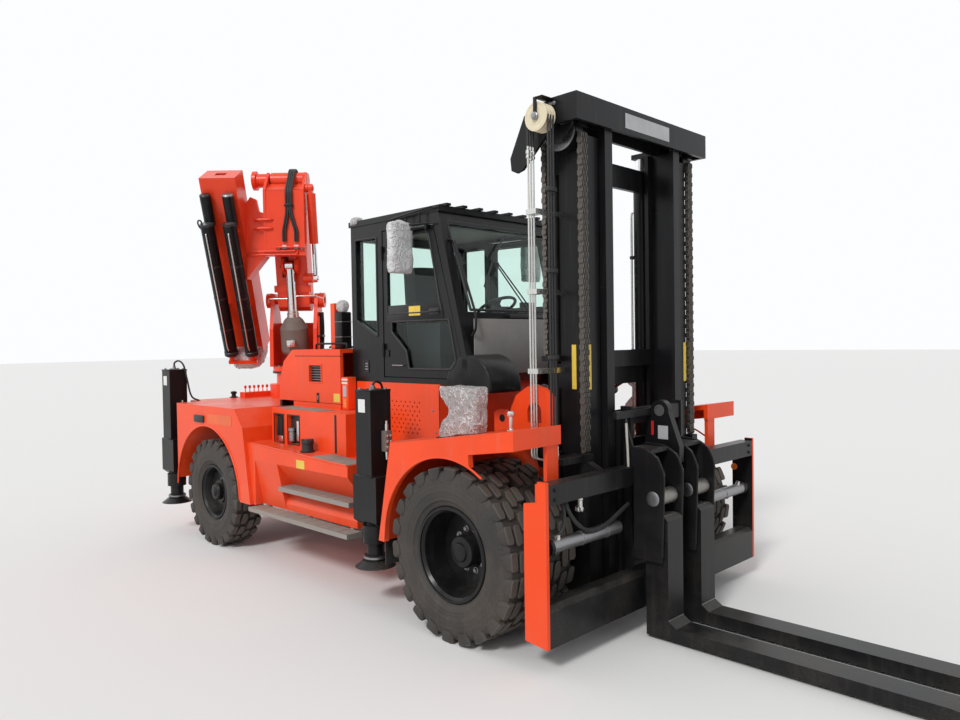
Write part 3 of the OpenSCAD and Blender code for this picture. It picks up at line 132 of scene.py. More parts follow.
def split(tree, vector):
    return node(tree, "ShaderNodeSeparateXYZ", {"Vector": vector}).outputs


def mapped(tree, place, **values):
    return node(tree, "ShaderNodeMapping", {"Vector": place, **values}).outputs[0]


def clouds(tree, place, scale, detail, **values):
    return node(tree, "ShaderNodeTexNoise", {
        "Vector": place, "Scale": scale, "Detail": detail, **values}).outputs[0]


# Shared effects

def effect(name, outputs, **inputs):
    """A new shared effect: its tree, its entry and its exit."""
    tree = bpy.data.node_groups.new(name, "ShaderNodeTree")
    for key, value in inputs.items():
        socket = tree.interface.new_socket(name=key, in_out="INPUT", socket_type="NodeSocketFloat")
        socket.default_value = value
    for key in outputs:
        tree.interface.new_socket(name=key, in_out="OUTPUT", socket_type="NodeSocketFloat")
    return tree, tree.nodes.new("NodeGroupInput"), tree.nodes.new("NodeGroupOutput")


def make_dust():
    """Dust that settles on level faces and low down, with streaks and specks."""
    tree, start, end = effect("dust", ("Mask", "Cloud"), Amount=0.5, Low=1.4)
    place = place_on(tree)
    facing = split(tree, node(tree, "ShaderNodeNewGeometry").outputs["Normal"])
    cloud = clouds(tree, place, 2.3, 8.0, Roughness=0.65)
    specks = clouds(tree, place, 95.0, 3.0)
    streaks = clouds(tree, mapped(tree, place, Scale=(9.0, 9.0, 0.7)), 2.0, 5.0)
    top = steps(tree, facing["Z"], 0.35, 0.95)
    low = steps(tree, split(tree, place)["Z"], start.outputs["Low"], 0.1)
    settled = plus(tree, times(tree, top, 0.75), times(tree, low, 0.55))
    broken = times(tree, steps(tree, cloud, 0.35, 0.7), steps(tree, specks, 0.32, 0.68, 0.35))
    ran = times(tree, steps(tree, streaks, 0.52, 0.78), 0.28)
    mask = times(tree, plus(tree, times(tree, settled, broken), ran), start.outputs["Amount"])
    fill(tree, end, {"Mask": node(tree, "ShaderNodeClamp", {"Value": mask}).outputs[0], "Cloud": cloud})
    return tree


def make_scuffs():
    """Fine rubbed scratches and chips in the coat."""
    tree, start, end = effect("scuffs", ("Mask",), Amount=0.5)
    place = place_on(tree)
    lines = clouds(tree, mapped(tree, place, Rotation=(0.5, 0.3, 0.9), Scale=(4.0, 60.0, 60.0)), 1.5, 4.0)
    mask = times(tree, steps(tree, lines, 0.66, 0.74),
                 steps(tree, clouds(tree, place, 1.7, 4.0), 0.5, 0.72))
    fill(tree, end, {"Mask": times(tree, mask, start.outputs["Amount"])})
    return tree


def make_grain():
    """A fine moulded or cast grain, as a height."""
    tree, start, end = effect("grain", ("Height",), Scale=300.0, Soft=8.0)
    place = place_on(tree)
    fine = clouds(tree, place, start.outputs["Scale"], 4.0)
    soft = clouds(tree, place, start.outputs["Soft"], 3.0)
    fill(tree, end, {"Height": times_plus(tree, soft, 1.5, fine)})
    return tree


def make_crinkle():
    """The folds and creases of thin film pulled round a fitting."""
    tree, start, end = effect("crinkle", ("Height", "Crease"), Scale=14.0)
    place = place_on(tree)
    warp = node(tree, "ShaderNodeTexNoise", {"Vector": place, "Scale": 7.0, "Detail": 3.0,
                                             "Distortion": 1.2})
    moved = node(tree, "ShaderNodeVectorMath", {0: warp.outputs["Color"], 1: (0.22, 0.22, 0.22), 2: place},
                 operation="MULTIPLY_ADD").outputs[0]
    cells, small = (node(tree, "ShaderNodeTexVoronoi", {"Vector": moved, "Scale": scale},
                         feature="DISTANCE_TO_EDGE").outputs["Distance"]
                    for scale in (start.outputs["Scale"], 41.0))
    ridge = steps(tree, cells, 0.0, 0.16, 1.0, 0.0)
    fine = steps(tree, small, 0.0, 0.2, 0.45, 0.0)
    fill(tree, end, {"Height": plus(tree, ridge, fine), "Crease": ridge})
    return tree


DUST = make_dust()
SCUFFS = make_scuffs()
GRAIN = make_grain()
CRINKLE = make_crinkle()
DUSTY = (0.36, 0.31, 0.25)


def group(tree, which, **values):
    """Places a shared effect in a material with its own values."""
    return node(tree, "ShaderNodeGroup", values, node_tree=which).outputs


def finish_of(name):
    """A new material, its tree and its Principled shader."""
    made = bpy.data.materials.new(name)
    made.use_nodes = True
    return made, made.node_tree, made.node_tree.nodes["Principled BSDF"]


def bump(tree, height, strength, distance):
    return node(tree, "ShaderNodeBump", {
        "Height": height, "Strength": strength, "Distance": distance}).outputs[0]


def paint(name, colour, rough, dust, coat=0.0, low=1.4, second=None, shine=0.3):
    """Sprayed paint with dust, rubs and a slight orange peel; second paints the faces past a plane."""
    made, tree, shader = finish_of(name)
    settled = group(tree, DUST, Amount=dust, Low=low)
    cloud = settled["Cloud"]
    base = shades(tree, steps(tree, cloud, 0.3, 0.75), colour, 0.93, 1.05)
    if second:
        side, edge = second
        away = maths(tree, "ABSOLUTE", split(tree, place_on(tree))["Y"])
        base = mixed(tree, steps(tree, away, edge - 0.0005, edge + 0.0005), base, side)
    base = mixed(tree, settled["Mask"], base, DUSTY)
    rubbed = group(tree, SCUFFS, Amount=0.5)["Mask"]
    fill(tree, shader, {
        "Base Color": mixed(tree, rubbed, base, [min(1.0, c * 0.6 + 0.12) for c in colour]),
        "Roughness": plus(tree, times(tree, settled["Mask"], 0.45),
                          steps(tree, cloud, 0.2, 0.8, rough * 0.85, rough * 1.2)),
        "Coat Weight": coat, "Coat Roughness": 0.12, "Specular IOR Level": shine,
        "Normal": bump(tree, group(tree, GRAIN, Scale=140.0, Soft=20.0)["Height"], 0.06, 0.002)})
    return made


def metal(name, colour, rough, brushed, dust, metallic=1.0):
    """Bare metal, brushed along one axis where that is named."""
    made, tree, shader = finish_of(name)
    settled = group(tree, DUST, Amount=dust, Low=1.2)["Mask"]
    scale = {None: (60, 60, 60), "x": (4, 260, 260), "y": (260, 4, 260), "z": (260, 260, 4)}[brushed]
    lines = clouds(tree, mapped(tree, place_on(tree), Scale=scale), 1.0, 4.0)
    fill(tree, shader, {
        "Base Color": mixed(tree, settled, shades(tree, steps(tree, lines, 0.3, 0.7), colour, 0.82), DUSTY),
        "Metallic": metallic,
        "Roughness": times_plus(tree, settled, 0.4,
                                steps(tree, lines, 0.25, 0.75, rough * 0.8, rough * 1.25)),
        "Normal": bump(tree, lines, 0.05, 0.001)})
    return made


def plastic(name, colour, rough, grain=0.25, scale=260.0, dust=0.2):
    """Moulded plastic or rubber with a fine grain."""
    made, tree, shader = finish_of(name)
    settled = group(tree, DUST, Amount=dust, Low=1.4)
    mask, cloud = settled["Mask"], settled["Cloud"]
    fill(tree, shader, {
        "Base Color": mixed(tree, mask, shades(tree, steps(tree, cloud, 0.3, 0.75), colour, 0.85, 1.12),
                            DUSTY),
        "Roughness": times_plus(tree, mask, 0.3, steps(tree, cloud, 0.3, 0.7, rough * 0.9, rough * 1.1)),
        "Normal": bump(tree, group(tree, GRAIN, Scale=scale, Soft=6.0)["Height"], grain, 0.002)})
    return made


def tyre_rubber(name, x, radius):
    """Tyre rubber: moulded rings and ribs on the walls, dust on the lugs' flanks and a paler tread."""
    made, tree, shader = finish_of(name)
    part = split(tree, mapped(tree, place_on(tree), Location=(-x - SHIFT, 0.0, -radius)))
    r = maths(tree, "POWER", plus(tree, times(tree, part["X"], part["X"]),
                                  times(tree, part["Z"], part["Z"])), 0.5)
    turn = maths(tree, "ARCTAN2", part["Z"], part["X"])
    wall = steps(tree, r, radius - 0.045, radius - 0.075)
    rings = maths(tree, "SINE", times(tree, r, 2 * math.pi / 0.034))
    ribs = steps(tree, maths(tree, "SINE", times(tree, turn, 96.0)), 0.1, 0.5)
    band = times(tree, steps(tree, r, radius - 0.115, radius - 0.10),
                 steps(tree, r, radius - 0.06, radius - 0.075))
    mould = plus(tree, times(tree, steps(tree, rings, 0.55, 0.95), wall), times(tree, ribs, band))
    fine = group(tree, GRAIN, Scale=220.0, Soft=9.0)["Height"]
    settled = group(tree, DUST, Amount=0.9, Low=2.2)
    worn = times(tree, steps(tree, r, radius - 0.012, radius - 0.002), 0.5)
    cloud = steps(tree, settled["Cloud"], 0.35, 0.7)
    base = mixed(tree, cloud, (0.022, 0.019, 0.017), (0.045, 0.038, 0.032))
    base = mixed(tree, worn, base, (0.11, 0.095, 0.08))
    fill(tree, shader, {
        "Base Color": mixed(tree, times(tree, settled["Mask"], 0.5), base, (0.16, 0.13, 0.10)),
        "Roughness": steps(tree, cloud, 0.0, 1.0, 0.62, 0.85),
        "Normal": bump(tree, times_plus(tree, fine, 0.15, mould), 0.5, 0.003)})
    return made


def window_glass(name):
    """Green tinted glass with a faint film of dust."""
    made, tree, shader = finish_of(name)
    settled = group(tree, DUST, Amount=0.35, Low=0.5)["Mask"]
    fill(tree, shader, {"Base Color": (0.80, 0.93, 0.88, 1.0), "Transmission Weight": 1.0, "IOR": 1.25,
                        "Roughness": steps(tree, settled, 0.0, 1.0, 0.0, 0.25)})
    return made


def clear_film(name, tint, through):
    """Crinkled packing film or bubble wrap."""
    made, tree, shader = finish_of(name)
    folds = group(tree, CRINKLE, Scale=13.0)
    fill(tree, shader, {
        "Base Color": mixed(tree, folds["Crease"], tint, (0.97, 0.97, 0.98)),
        "Transmission Weight": through, "IOR": 1.2,
        "Roughness": steps(tree, folds["Crease"], 0.0, 1.0, 0.32, 0.14),
        "Normal": bump(tree, folds["Height"], 0.9, 0.012)})
    return made


def label(name, colour):
    return plastic(name, colour, 0.4, 0.05, 120.0)


ORANGE = (0.86, 0.068, 0.010)
BLACK = (0.007, 0.007, 0.008)
body_paint = paint("orange body paint", ORANGE, 0.34, 0.42, coat=0.08)
crane_paint = paint("orange crane paint", (0.86, 0.058, 0.014), 0.30, 0.15, coat=0.16)
black_paint = paint("black frame paint", BLACK, 0.36, 0.12, coat=0.05, shine=0.22)
carriage_paint = paint("carriage paint", BLACK, 0.34, 0.14, coat=0.06, second=(ORANGE, 1.3925), shine=0.25)
cab_paint = paint("black cab paint", (0.008, 0.008, 0.009), 0.32, 0.08, coat=0.06, shine=0.24)
cast_brown = paint("cast cylinder", (0.16, 0.125, 0.11), 0.55, 0.8, low=4.0)
tread_metal = metal("anti-slip tread", (0.36, 0.33, 0.30), 0.55, "x", dust=0.8, metallic=0.6)
chrome = metal("chromed rod", (0.82, 0.83, 0.84), 0.12, None, dust=0.03)
pipe_metal = metal("plated pipe", (0.72, 0.71, 0.68), 0.25, "z", dust=0.1)
chain_metal = metal("oiled chain", (0.16, 0.145, 0.13), 0.42, "y", dust=0.35, metallic=0.85)
dull_steel = metal("dull steel", (0.33, 0.33, 0.34), 0.4, "y", dust=0.35)
worn_steel = metal("worn steel", (0.30, 0.28, 0.26), 0.45, "z", dust=0.3)
steel_dark = metal("blackened steel", (0.05, 0.05, 0.055), 0.35, None, dust=0.2, metallic=0.7)
lining = plastic("cab lining", (0.05, 0.05, 0.055), 0.6)
seat_cloth = plastic("seat cloth", (0.03, 0.03, 0.034), 0.85, 0.6, 700.0)
# Grey: the headliner's and visor band's own colour; on the front panel it is a painted reflection of the
# ground
headliner = plastic("grey trim and painted panel reflection", (0.23, 0.22, 0.21), 0.6)
cream = plastic("cream roller", (0.74, 0.66, 0.47), 0.45, 0.15, 120.0, 0.25)
hose_rubber = plastic("hose rubber", (0.012, 0.012, 0.013), 0.5, 0.3, 500.0, 0.08)
pale_hose = plastic("pale hose", (0.45, 0.42, 0.37), 0.6, 0.3, 400.0)
trim_black = plastic("black trim", (0.013, 0.013, 0.014), 0.5, 0.2, 300.0, 0.15)
# Near-black strips laid in seams, gaps and the latch well: painted shade where these would be in shadow
painted_seam_shade = plastic("seam shadow", (0.012, 0.010, 0.010), 0.8)
anti_slip = plastic("anti-slip sheet", (0.26, 0.23, 0.20), 0.9, 1.0, 190.0, 0.6)
reflector = plastic("orange reflector", (0.85, 0.20, 0.03), 0.25, 0.5, 340.0)
lens_red = plastic("red lens", (0.55, 0.02, 0.015), 0.2, 0.3, 340.0)
label_yellow = label("yellow label", (0.78, 0.55, 0.06))
label_white = label("white label", (0.72, 0.72, 0.70))
label_grey = label("grey label", (0.42, 0.42, 0.43))
label_orange = label("orange plate", (0.80, 0.12, 0.02))
glass = window_glass("tinted glass")
film = clear_film("packing film", (0.90, 0.89, 0.89), 0.38)
film_dusty = clear_film("dusty bubble wrap", (0.62, 0.60, 0.58), 0.35)
bag_white = clear_film("white mirror bag", (0.90, 0.90, 0.91), 0.12)
front_rubber = tyre_rubber("front tyre rubber", 0.0, FRONT_RADIUS)
rear_rubber = tyre_rubber("rear tyre rubber", REAR_X, REAR_RADIUS)

FINISHES = (
    (body_paint, "counterweight fenders side_tanks cab_base hood"),
    (black_paint, "chassis_frame axles jack_housings jack_leg_fr jack_leg_fl jack_leg_rr jack_leg_rl"
                  " rims_fr rims_fl rim_rr rim_rl knuckle_r knuckle_l outer_mast lift_barrels tilt_barrels"
                  " inner_mast fork_right fork_left boom_cylinders"),
    (crane_paint, "crane_base crane_column inner_boom knuckle_barrel outer_boom boom_extension"),
    (cab_paint, "cab_shell door_right door_left"), (carriage_paint, "carriage"),
    (glass, "cab_glass door_right_glass door_left_glass"), (film, "hood_lamp wrapped_lamps"),
    (chrome, "tilt_rods lift_rods boom_lift_rod knuckle_rod"), (dull_steel, "engine_block positioners"),
    (front_rubber, "tyres_fr tyres_fl"), (rear_rubber, "tyre_rr tyre_rl"), (tread_metal, "treads"),
    (hose_rubber, "mast_hoses pipe_hoses"), (pipe_metal, "mast_pipes"), (cream, "hose_roller"),
    (chain_metal, "chains_front chains_rear"), (cast_brown, "boom_lift_barrel"), (lining, "cab_interior"),
)
for material, names in FINISHES:
    for name in names.split():
        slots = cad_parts[name].data.materials
        slots.clear()
        slots.append(material)


# Places of the leaning pieces

def leaning(point, angle):
    """A line that leans in the X-Z plane: its own X runs along it."""
    return Matrix.Translation(Vector(point)) @ Matrix.Rotation(-math.radians(angle), 4, "Y")


TRUCK = Matrix.Translation((SHIFT, 0, 0))
CAB = TRUCK @ Matrix.Translation((0, -0.06, 0))
CRANE = Matrix.Translation((CRANE_X + SHIFT, 0, 0)) @ Matrix.Rotation(SLEW, 4, "Z")
OUTER = CRANE @ leaning((0.730, -0.645, 4.040), -117.0)
INNER = CRANE @ leaning((0.0, 0.0, 2.650), 79.12)
LIFT = CRANE @ leaning((0.060, 0.0, 1.930), 78.4)
TILT_ANGLE = math.degrees(math.atan2(0.36, 0.638))


def fender_rise(x):
    """How far the front fender's sheet has risen at a distance from the front axle."""
    return max(0.0, x + 0.52) / 1.175 * 0.170


# Modelling helpers

def edit(on=True):
    bpy.ops.object.mode_set(mode="EDIT" if on else "OBJECT")


def pick(action="SELECT"):
    bpy.ops.mesh.select_all(action=action)


def outward():
    """Turns all faces outwards and leaves edit mode."""
    pick()
    bpy.ops.mesh.normals_make_consistent(inside=False)
    edit(False)


def extruded(step):
    bpy.ops.mesh.extrude_region_move(TRANSFORM_OT_translate={"value": step})


def lone(made):
    """Selects one object and makes it the active one."""
    bpy.ops.object.select_all(action="DESELECT")
    made.select_set(True)
    bpy.context.view_layer.objects.active = made


def keep(made, name, material, body="chassis", where=TRUCK, smooth=30):
    """Names a finished piece, moves its mesh into place, and gives it its finish and its body."""
    made.name = name
    made.data.name = name
    made.data.transform(where)
    made.data.materials.clear()
    made.data.materials.append(material)
    lone(made)
    bpy.ops.object.shade_smooth_by_angle(angle=math.radians(smooth))
    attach(made, body)
    return made


def drawn(points, fill_type="NGON"):
    """A flat shape through the given points, open for editing and all of it selected."""
    bpy.ops.mesh.primitive_circle_add(vertices=len(points), radius=1.0, fill_type=fill_type)
    made = bpy.context.object
    for vertex, point in zip(made.data.vertices, points):
        vertex.co = point
    edit()
    pick()
    return made


def spun(section, count):
    """A ring spun about the Y axis from radius and place of its section's corners."""
    made = drawn([(r, w, 0.0) for r, w in section], "NOTHING")
    bpy.ops.mesh.spin(steps=count, angle=2 * math.pi, center=(0, 0, 0), axis=(0, 1, 0))
    pick()
    bpy.ops.mesh.remove_doubles(threshold=0.0002)
    outward()
    return made


def stretched_cube(low, high):
    """A cube between two corners, open for editing and all of it selected."""
    bpy.ops.mesh.primitive_cube_add(size=1.0, location=[(a + b) / 2 for a, b in zip(low, high)])
    made = bpy.context.object
    made.scale = [abs(b - a) for a, b in zip(low, high)]
    bpy.ops.object.transform_apply(location=True, rotation=True, scale=True)
    edit()
    pick()
    return made


def rough_block(low, high, bevel, segments):
    """A box with rounded edges between two corners, before it has its place."""
    made = stretched_cube(low, high)
    bpy.ops.mesh.bevel(offset=bevel, segments=segments, affect="EDGES")
    edit(False)
    return made


def block(name, low, high, material, body="chassis", where=TRUCK, bevel=0.003, segments=2):
    return keep(rough_block(low, high, bevel, segments), name, material, body, where)


def sign(name, low, high, material, body="chassis"):
    """A thin blank plate."""
    return block(name, low, high, material, body, TRUCK, 0.0012, 1)


def both(name, x, y, z, material, body="chassis", bevel=0.003, segments=2):
    """The same block on both sides: y is measured outwards from the truck's middle."""
    for tag, s in SIDES:
        a, b = sorted((s * y[0], s * y[1]))
        block(name + tag, (x[0], a, z[0]), (x[1], b, z[1]), material, body, TRUCK, bevel, segments)


def both_signs(name, x, y, z, material, body="chassis"):
    both(name, x, y, z, material, body, 0.0012, 1)


def rough_turned(rings, centre, axis, sides):
    """A turned piece drawn ring by ring: rings are radius and height along its axis."""
    radius, height = rings[0]
    bpy.ops.mesh.primitive_circle_add(vertices=sides, radius=radius, fill_type="NGON")
    made = bpy.context.object
    edit()
    pick()
    bpy.ops.transform.translate(value=(0, 0, height))
    for r, h in rings[1:]:
        extruded((0, 0, h - height))
        bpy.ops.transform.resize(value=(r / radius, r / radius, 1.0), center_override=(0, 0, h))
        radius, height = r, h
    outward()
    turn = Vector(axis).to_track_quat("Z", "Y").to_matrix().to_4x4()
    made.data.transform(Matrix.Translation(Vector(centre)) @ turn)
    return made


def turned(name, profile, centre, axis, material, body="chassis", where=TRUCK, sides=32):
    """A turned piece from radius, height, radius, height and so on, in millimetres."""
    rings = [(r / 1000, h / 1000) for r, h in zip(profile[::2], profile[1::2])]
    return keep(rough_turned(rings, centre, axis, sides), name, material, body, where)


def joined(pieces):
    """Several rough pieces as one."""
    lone(pieces[0])
    for made in pieces[1:]:
        made.select_set(True)
    if len(pieces) > 1:
        bpy.ops.object.join()
    return bpy.context.object


def twin(made, place=Matrix()):
    """A copy with its own mesh, moved to its place."""
    other = made.copy()
    other.data = made.data.copy()
    other.data.transform(place)
    bpy.context.scene.collection.objects.link(other)
    return other


def discard(made):
    """Takes away a pattern that has been copied."""
    mesh = made.data
    bpy.data.objects.remove(made)
    bpy.data.meshes.remove(mesh)


def repeated(made, places):
    """Copies a rough piece to each place and joins the copies."""
    copies = [twin(made, p if isinstance(p, Matrix) else Matrix.Translation(p)) for p in places]
    discard(made)
    return joined(copies)


def bolts(name, points, axis, size, material, body="chassis", where=TRUCK):
    """Hexagon bolts on their washers, all pointing one way."""
    head, washer = (rough_turned([(size * r, size * h) for r, h in rings], (0, 0, 0), axis, sides)
                    for rings, sides in ((((0.94, 0.25), (1, 0.3), (1, 0.95), (0.85, 1.1)), 6),
                                         (((1.4, -0.05), (1.4, 0.25), (1.3, 0.3)), 16)))
    return keep(repeated(joined([head, washer]), points), name, material, body, where)


def ring_of(centre, radius, angles):
    """Points round a centre in the X-Z plane."""
    x, y, z = centre
    return [(x + radius * math.cos(a), y, z + radius * math.sin(a)) for a in angles]


PATH_STEPS = 6       # points from one given point of a hose to the next
RING_STEPS = 5       # rings from one given ring of a wrap to the next
CORNER_STEPS = 5     # straight pieces in a pipe's corner
HOSE_SMOOTH = 60     # degrees up to which faces shade as one, for round lines
WRAP_SMOOTH = 40     # the same for film


def even_angles(count):
    return [k * math.tau / count for k in range(count)]


def smooth_path(points, between=PATH_STEPS):
    """Points on a smooth line through the given ones."""
    points = [Vector(p) for p in points]
    ends = [points[0] * 2 - points[1]] + points + [points[-1] * 2 - points[-2]]
    out = []
    for i in range(1, len(ends) - 2):
        a, b, c, d = ends[i - 1:i + 3]
        for k in range(between):
            t = k / between
            out.append(0.5 * ((2 * b) + (c - a) * t + (2 * a - 5 * b + 4 * c - d) * t * t
                              + (3 * b - a - 3 * c + d) * t ** 3))
    return out + [points[-1]]


def rounded(points, radius):
    """A bent pipe's line: straight runs with rounded corners."""
    points = [Vector(p) for p in points]
    out = [points[0]]
    for before, corner, after in zip(points, points[1:], points[2:]):
        start, stop = (corner + (end - corner).normalized() * min(radius, (end - corner).length * 0.45)
                       for end in (before, after))
        for k in range(CORNER_STEPS + 1):
            t = k / CORNER_STEPS
            out.append(start * (1 - t) ** 2 + corner * 2 * t * (1 - t) + stop * t * t)
    return out + [points[-1]]


def rough_tube(path, radius):
    """A round tube or hose drawn as a curve and made a mesh."""
    data = bpy.data.curves.new("line", "CURVE")
    data.dimensions = "3D"
    data.bevel_depth = radius
    data.bevel_resolution = 3
    data.use_fill_caps = True
    line = data.splines.new("POLY")
    line.points.add(len(path) - 1)
    for spot, p in zip(line.points, path):
        spot.co = (*p, 1.0)
    made = bpy.data.objects.new("line", data)
    bpy.context.scene.collection.objects.link(made)
    lone(made)
    bpy.ops.object.convert(target="MESH")
    return bpy.context.object


def tubes(name, paths, radius, material, body="chassis", where=TRUCK):
    """Tubes along their paths' own points."""
    return keep(joined([rough_tube(p, radius) for p in paths]), name, material, body, where, HOSE_SMOOTH)


def hoses(name, paths, radius, material=None, body="chassis", where=TRUCK):
    """Hoses on smooth lines."""
    return tubes(name, [smooth_path(p) for p in paths], radius, material or hose_rubber, body, where)


def pipes(name, paths, radius, material, body="chassis", where=TRUCK, bend=0.03):
    """Bent rods and pipes."""
    return tubes(name, [rounded(p, bend) for p in paths], radius, material, body, where)


def flat_plate(name, outline, axis, span, material, body="chassis", bevel=0.002):
    """A cut plate: an outline in the two other axes, as thick as its span along its axis."""
    from_, to = span
    made = drawn([{"x": (from_, a, b), "y": (a, from_, b), "z": (a, b, from_)}[axis] for a, b in outline])
    extruded([to - from_ if axis == one else 0 for one in "xyz"])
    pick()
    bpy.ops.mesh.normals_make_consistent(inside=False)
    bpy.ops.mesh.bevel(offset=bevel, segments=2, affect="EDGES")
    edit(False)
    return keep(made, name, material, body)


def wrapped(name, rings, material, body="chassis", where=TRUCK, sides=64, *,
            folds, seed, square, lean=None):
    """Film round a fitting: a shell lofted through rings of centre, half sizes and height, with folds."""
    levels = smooth_path([Vector((r[0], r[1], r[4])) for r in rings], RING_STEPS)
    halves = smooth_path([Vector((r[2], r[3], 0)) for r in rings], RING_STEPS)
    bpy.ops.mesh.primitive_circle_add(vertices=sides, radius=1.0, fill_type="TRIFAN")
    made = bpy.context.object
    edit()
    pick()
    for _ in levels[1:]:
        extruded((0, 0, 1))
    outward()
    start = Vector((seed * 7.3, seed * 3.1, seed * 1.7))
    for vertex in made.data.vertices:
        level = int(round(vertex.co.z))
        spot, half = levels[level], halves[level]
        turn = math.atan2(vertex.co.y, vertex.co.x)
        reach = math.hypot(vertex.co.x, vertex.co.y)
        c, s = (math.copysign(abs(v) ** square, v) for v in (math.cos(turn), math.sin(turn)))
        p = Vector((spot.x + half.x * c * reach, spot.y + half.y * s * reach, spot.z))
        if reach > 0.5:
            deep = (noise.noise(p * 9 + start)
                    + 0.6 * noise.noise(Vector((p.x * 34, p.y * 34, p.z * 9)) + start))
            crease = 1.0 - abs(noise.noise(p * 16 + start * 2)) * 2.2
            p -= Vector((c, s, 0)).normalized() * folds * (0.55 + 0.5 * deep + 0.35 * crease)
            p.z += folds * 0.5 * noise.noise(p * 12 - start)
        if lean:
            p.z += lean(p)
        vertex.co = p
    return keep(made, name, material, body, where, WRAP_SMOOTH)


def frame_ring(name, xs, zs, y, s, material, body="chassis", wide=0.012, proud=0.006):
    """A raised rim round an opening in a side wall."""
    made = stretched_cube((xs[0], y, zs[0]), (xs[1], y + s * proud, zs[1]))
    bpy.ops.mesh.select_mode(type="FACE")
    pick("DESELECT")
    edit(False)
    for face in made.data.polygons:
        face.select = abs(face.normal.y) > 0.9
    edit()
    bpy.ops.mesh.inset(thickness=wide, use_individual=True)
    edit(False)
    edit()
    bpy.ops.mesh.bridge_edge_loops()
    outward()
    return keep(made, name, material, body)


# Tyres

LUGS = 22
TYRE_HALF = 0.1575
INNER_LUG = ((-0.40, 0.012), (0.06, 0.006), (0.34, 0.022), (0.40, 0.066), (0.22, 0.076), (-0.24, 0.071),
             (-0.44, 0.052))
OUTER_LUG = ((-0.34, 0.086), (0.24, 0.092), (0.38, 0.102), (0.37, 0.146), (0.24, 0.1545), (-0.24, 0.1545),
             (-0.36, 0.142))


LUG_SUNK = -0.012    # a tread block's foot, down in the casing
LUG_RISE = 0.026     # its top over the casing
LUG_CUT = 0.0255     # the same after its edges are rounded
CASING_SIDES = 88
LOCK_RING_SIDES = 72


def tyre_block(outline, drop):
    """A tread block drawn flat: along the tyre, across it, and up from its base."""
    low, high = LUG_SUNK, LUG_RISE
    widest = max(abs(b) for a, b in outline)
    middle = sum(b for a, b in outline) / len(outline)
    made = drawn([(a, b, low - (drop if abs(b) > widest - 0.004 else 0.0)) for a, b in outline])
    extruded((0, 0, high - low))
    edit(False)
    for vertex in made.data.vertices:
        if vertex.co.z > low + 0.3 * (high - low) or (drop and vertex.index >= len(outline)):
            vertex.co = (vertex.co.x * 0.95, vertex.co.y * 0.97 + 0.03 * middle, high)
    edit()
    pick()
    bpy.ops.mesh.normals_make_consistent(inside=False)
    bpy.ops.mesh.bevel(offset=0.004, segments=1, affect="EDGES")
    edit(False)
    return made


def tyre_piece(radius, rim):
    """One dressed tyre about the Y axis: casing with bead, wall rings and shoulder, and its tread."""
    base = radius - LUG_RISE
    middle = (rim + base) / 2
    section = [(rim + r, w) for r, w in ((0.002, 0.70), (0.014, 0.79), (0.030, 0.83), (0.046, 0.88),
                                         (0.052, 0.93), (0.062, 0.935), (0.072, 0.925))]
    section += [(middle + r, w) for r, w in ((-0.02, 0.985), (0, 0.985), (0.012, 0.965))]
    section += [(base - r, w) for r, w in ((0.062, 0.965), (0.045, 0.94), (0.02, 0.89), (0.004, 0.80),
                                           (0, 0.62), (0, 0.30))]
    pieces = [spun([(r, w * TYRE_HALF) for r, w in section]
                   + [(r, -w * TYRE_HALF) for r, w in reversed(section)], CASING_SIDES)]
    for side in (1, -1):
        for outline, drop, offset in ((INNER_LUG, 0.0, 0.0), (OUTER_LUG, 0.050, 0.10)):
            flat = tyre_block([(a * 2 * math.pi * radius / LUGS, b) for a, b in outline], drop)
            for k in range(LUGS):
                other = twin(flat)
                turn = (k + offset + (0.0 if side > 0 else 0.5)) * 2 * math.pi / LUGS
                for vertex in other.data.vertices:
                    a = turn + vertex.co.x / radius * side
                    r = base + min(vertex.co.z, LUG_CUT)
                    vertex.co = (r * math.cos(a), vertex.co.y * side, r * math.sin(a))
                if side > 0:
                    other.data.flip_normals()
                pieces.append(other)
            discard(flat)
    return joined(pieces)


def build_tyres():
    """Six tyres from two patterns, each in place of its solid."""
    for x, radius, rim, rubber, solid, body, places in (
            (0, FRONT_RADIUS, FRONT_RIM, front_rubber, "tyres_f", "wheel_f", (0.9575, 1.3075)),
            (REAR_X, REAR_RADIUS, REAR_RIM, rear_rubber, "tyre_r", "wheel_r", (1.2125,))):
        pattern = tyre_piece(radius, rim)
        for tag, s in SIDES:
            copies = [twin(pattern, Matrix.Translation((x, s * y, radius))
                           @ Matrix.Rotation(0.35 * i + (0.1 if s > 0 else 0.0), 4, "Y"))
                      for i, y in enumerate(places)]
            made = keep(joined(copies), solid + tag + "_dressed", rubber, body + tag)
            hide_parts(solid + tag)
        discard(pattern)


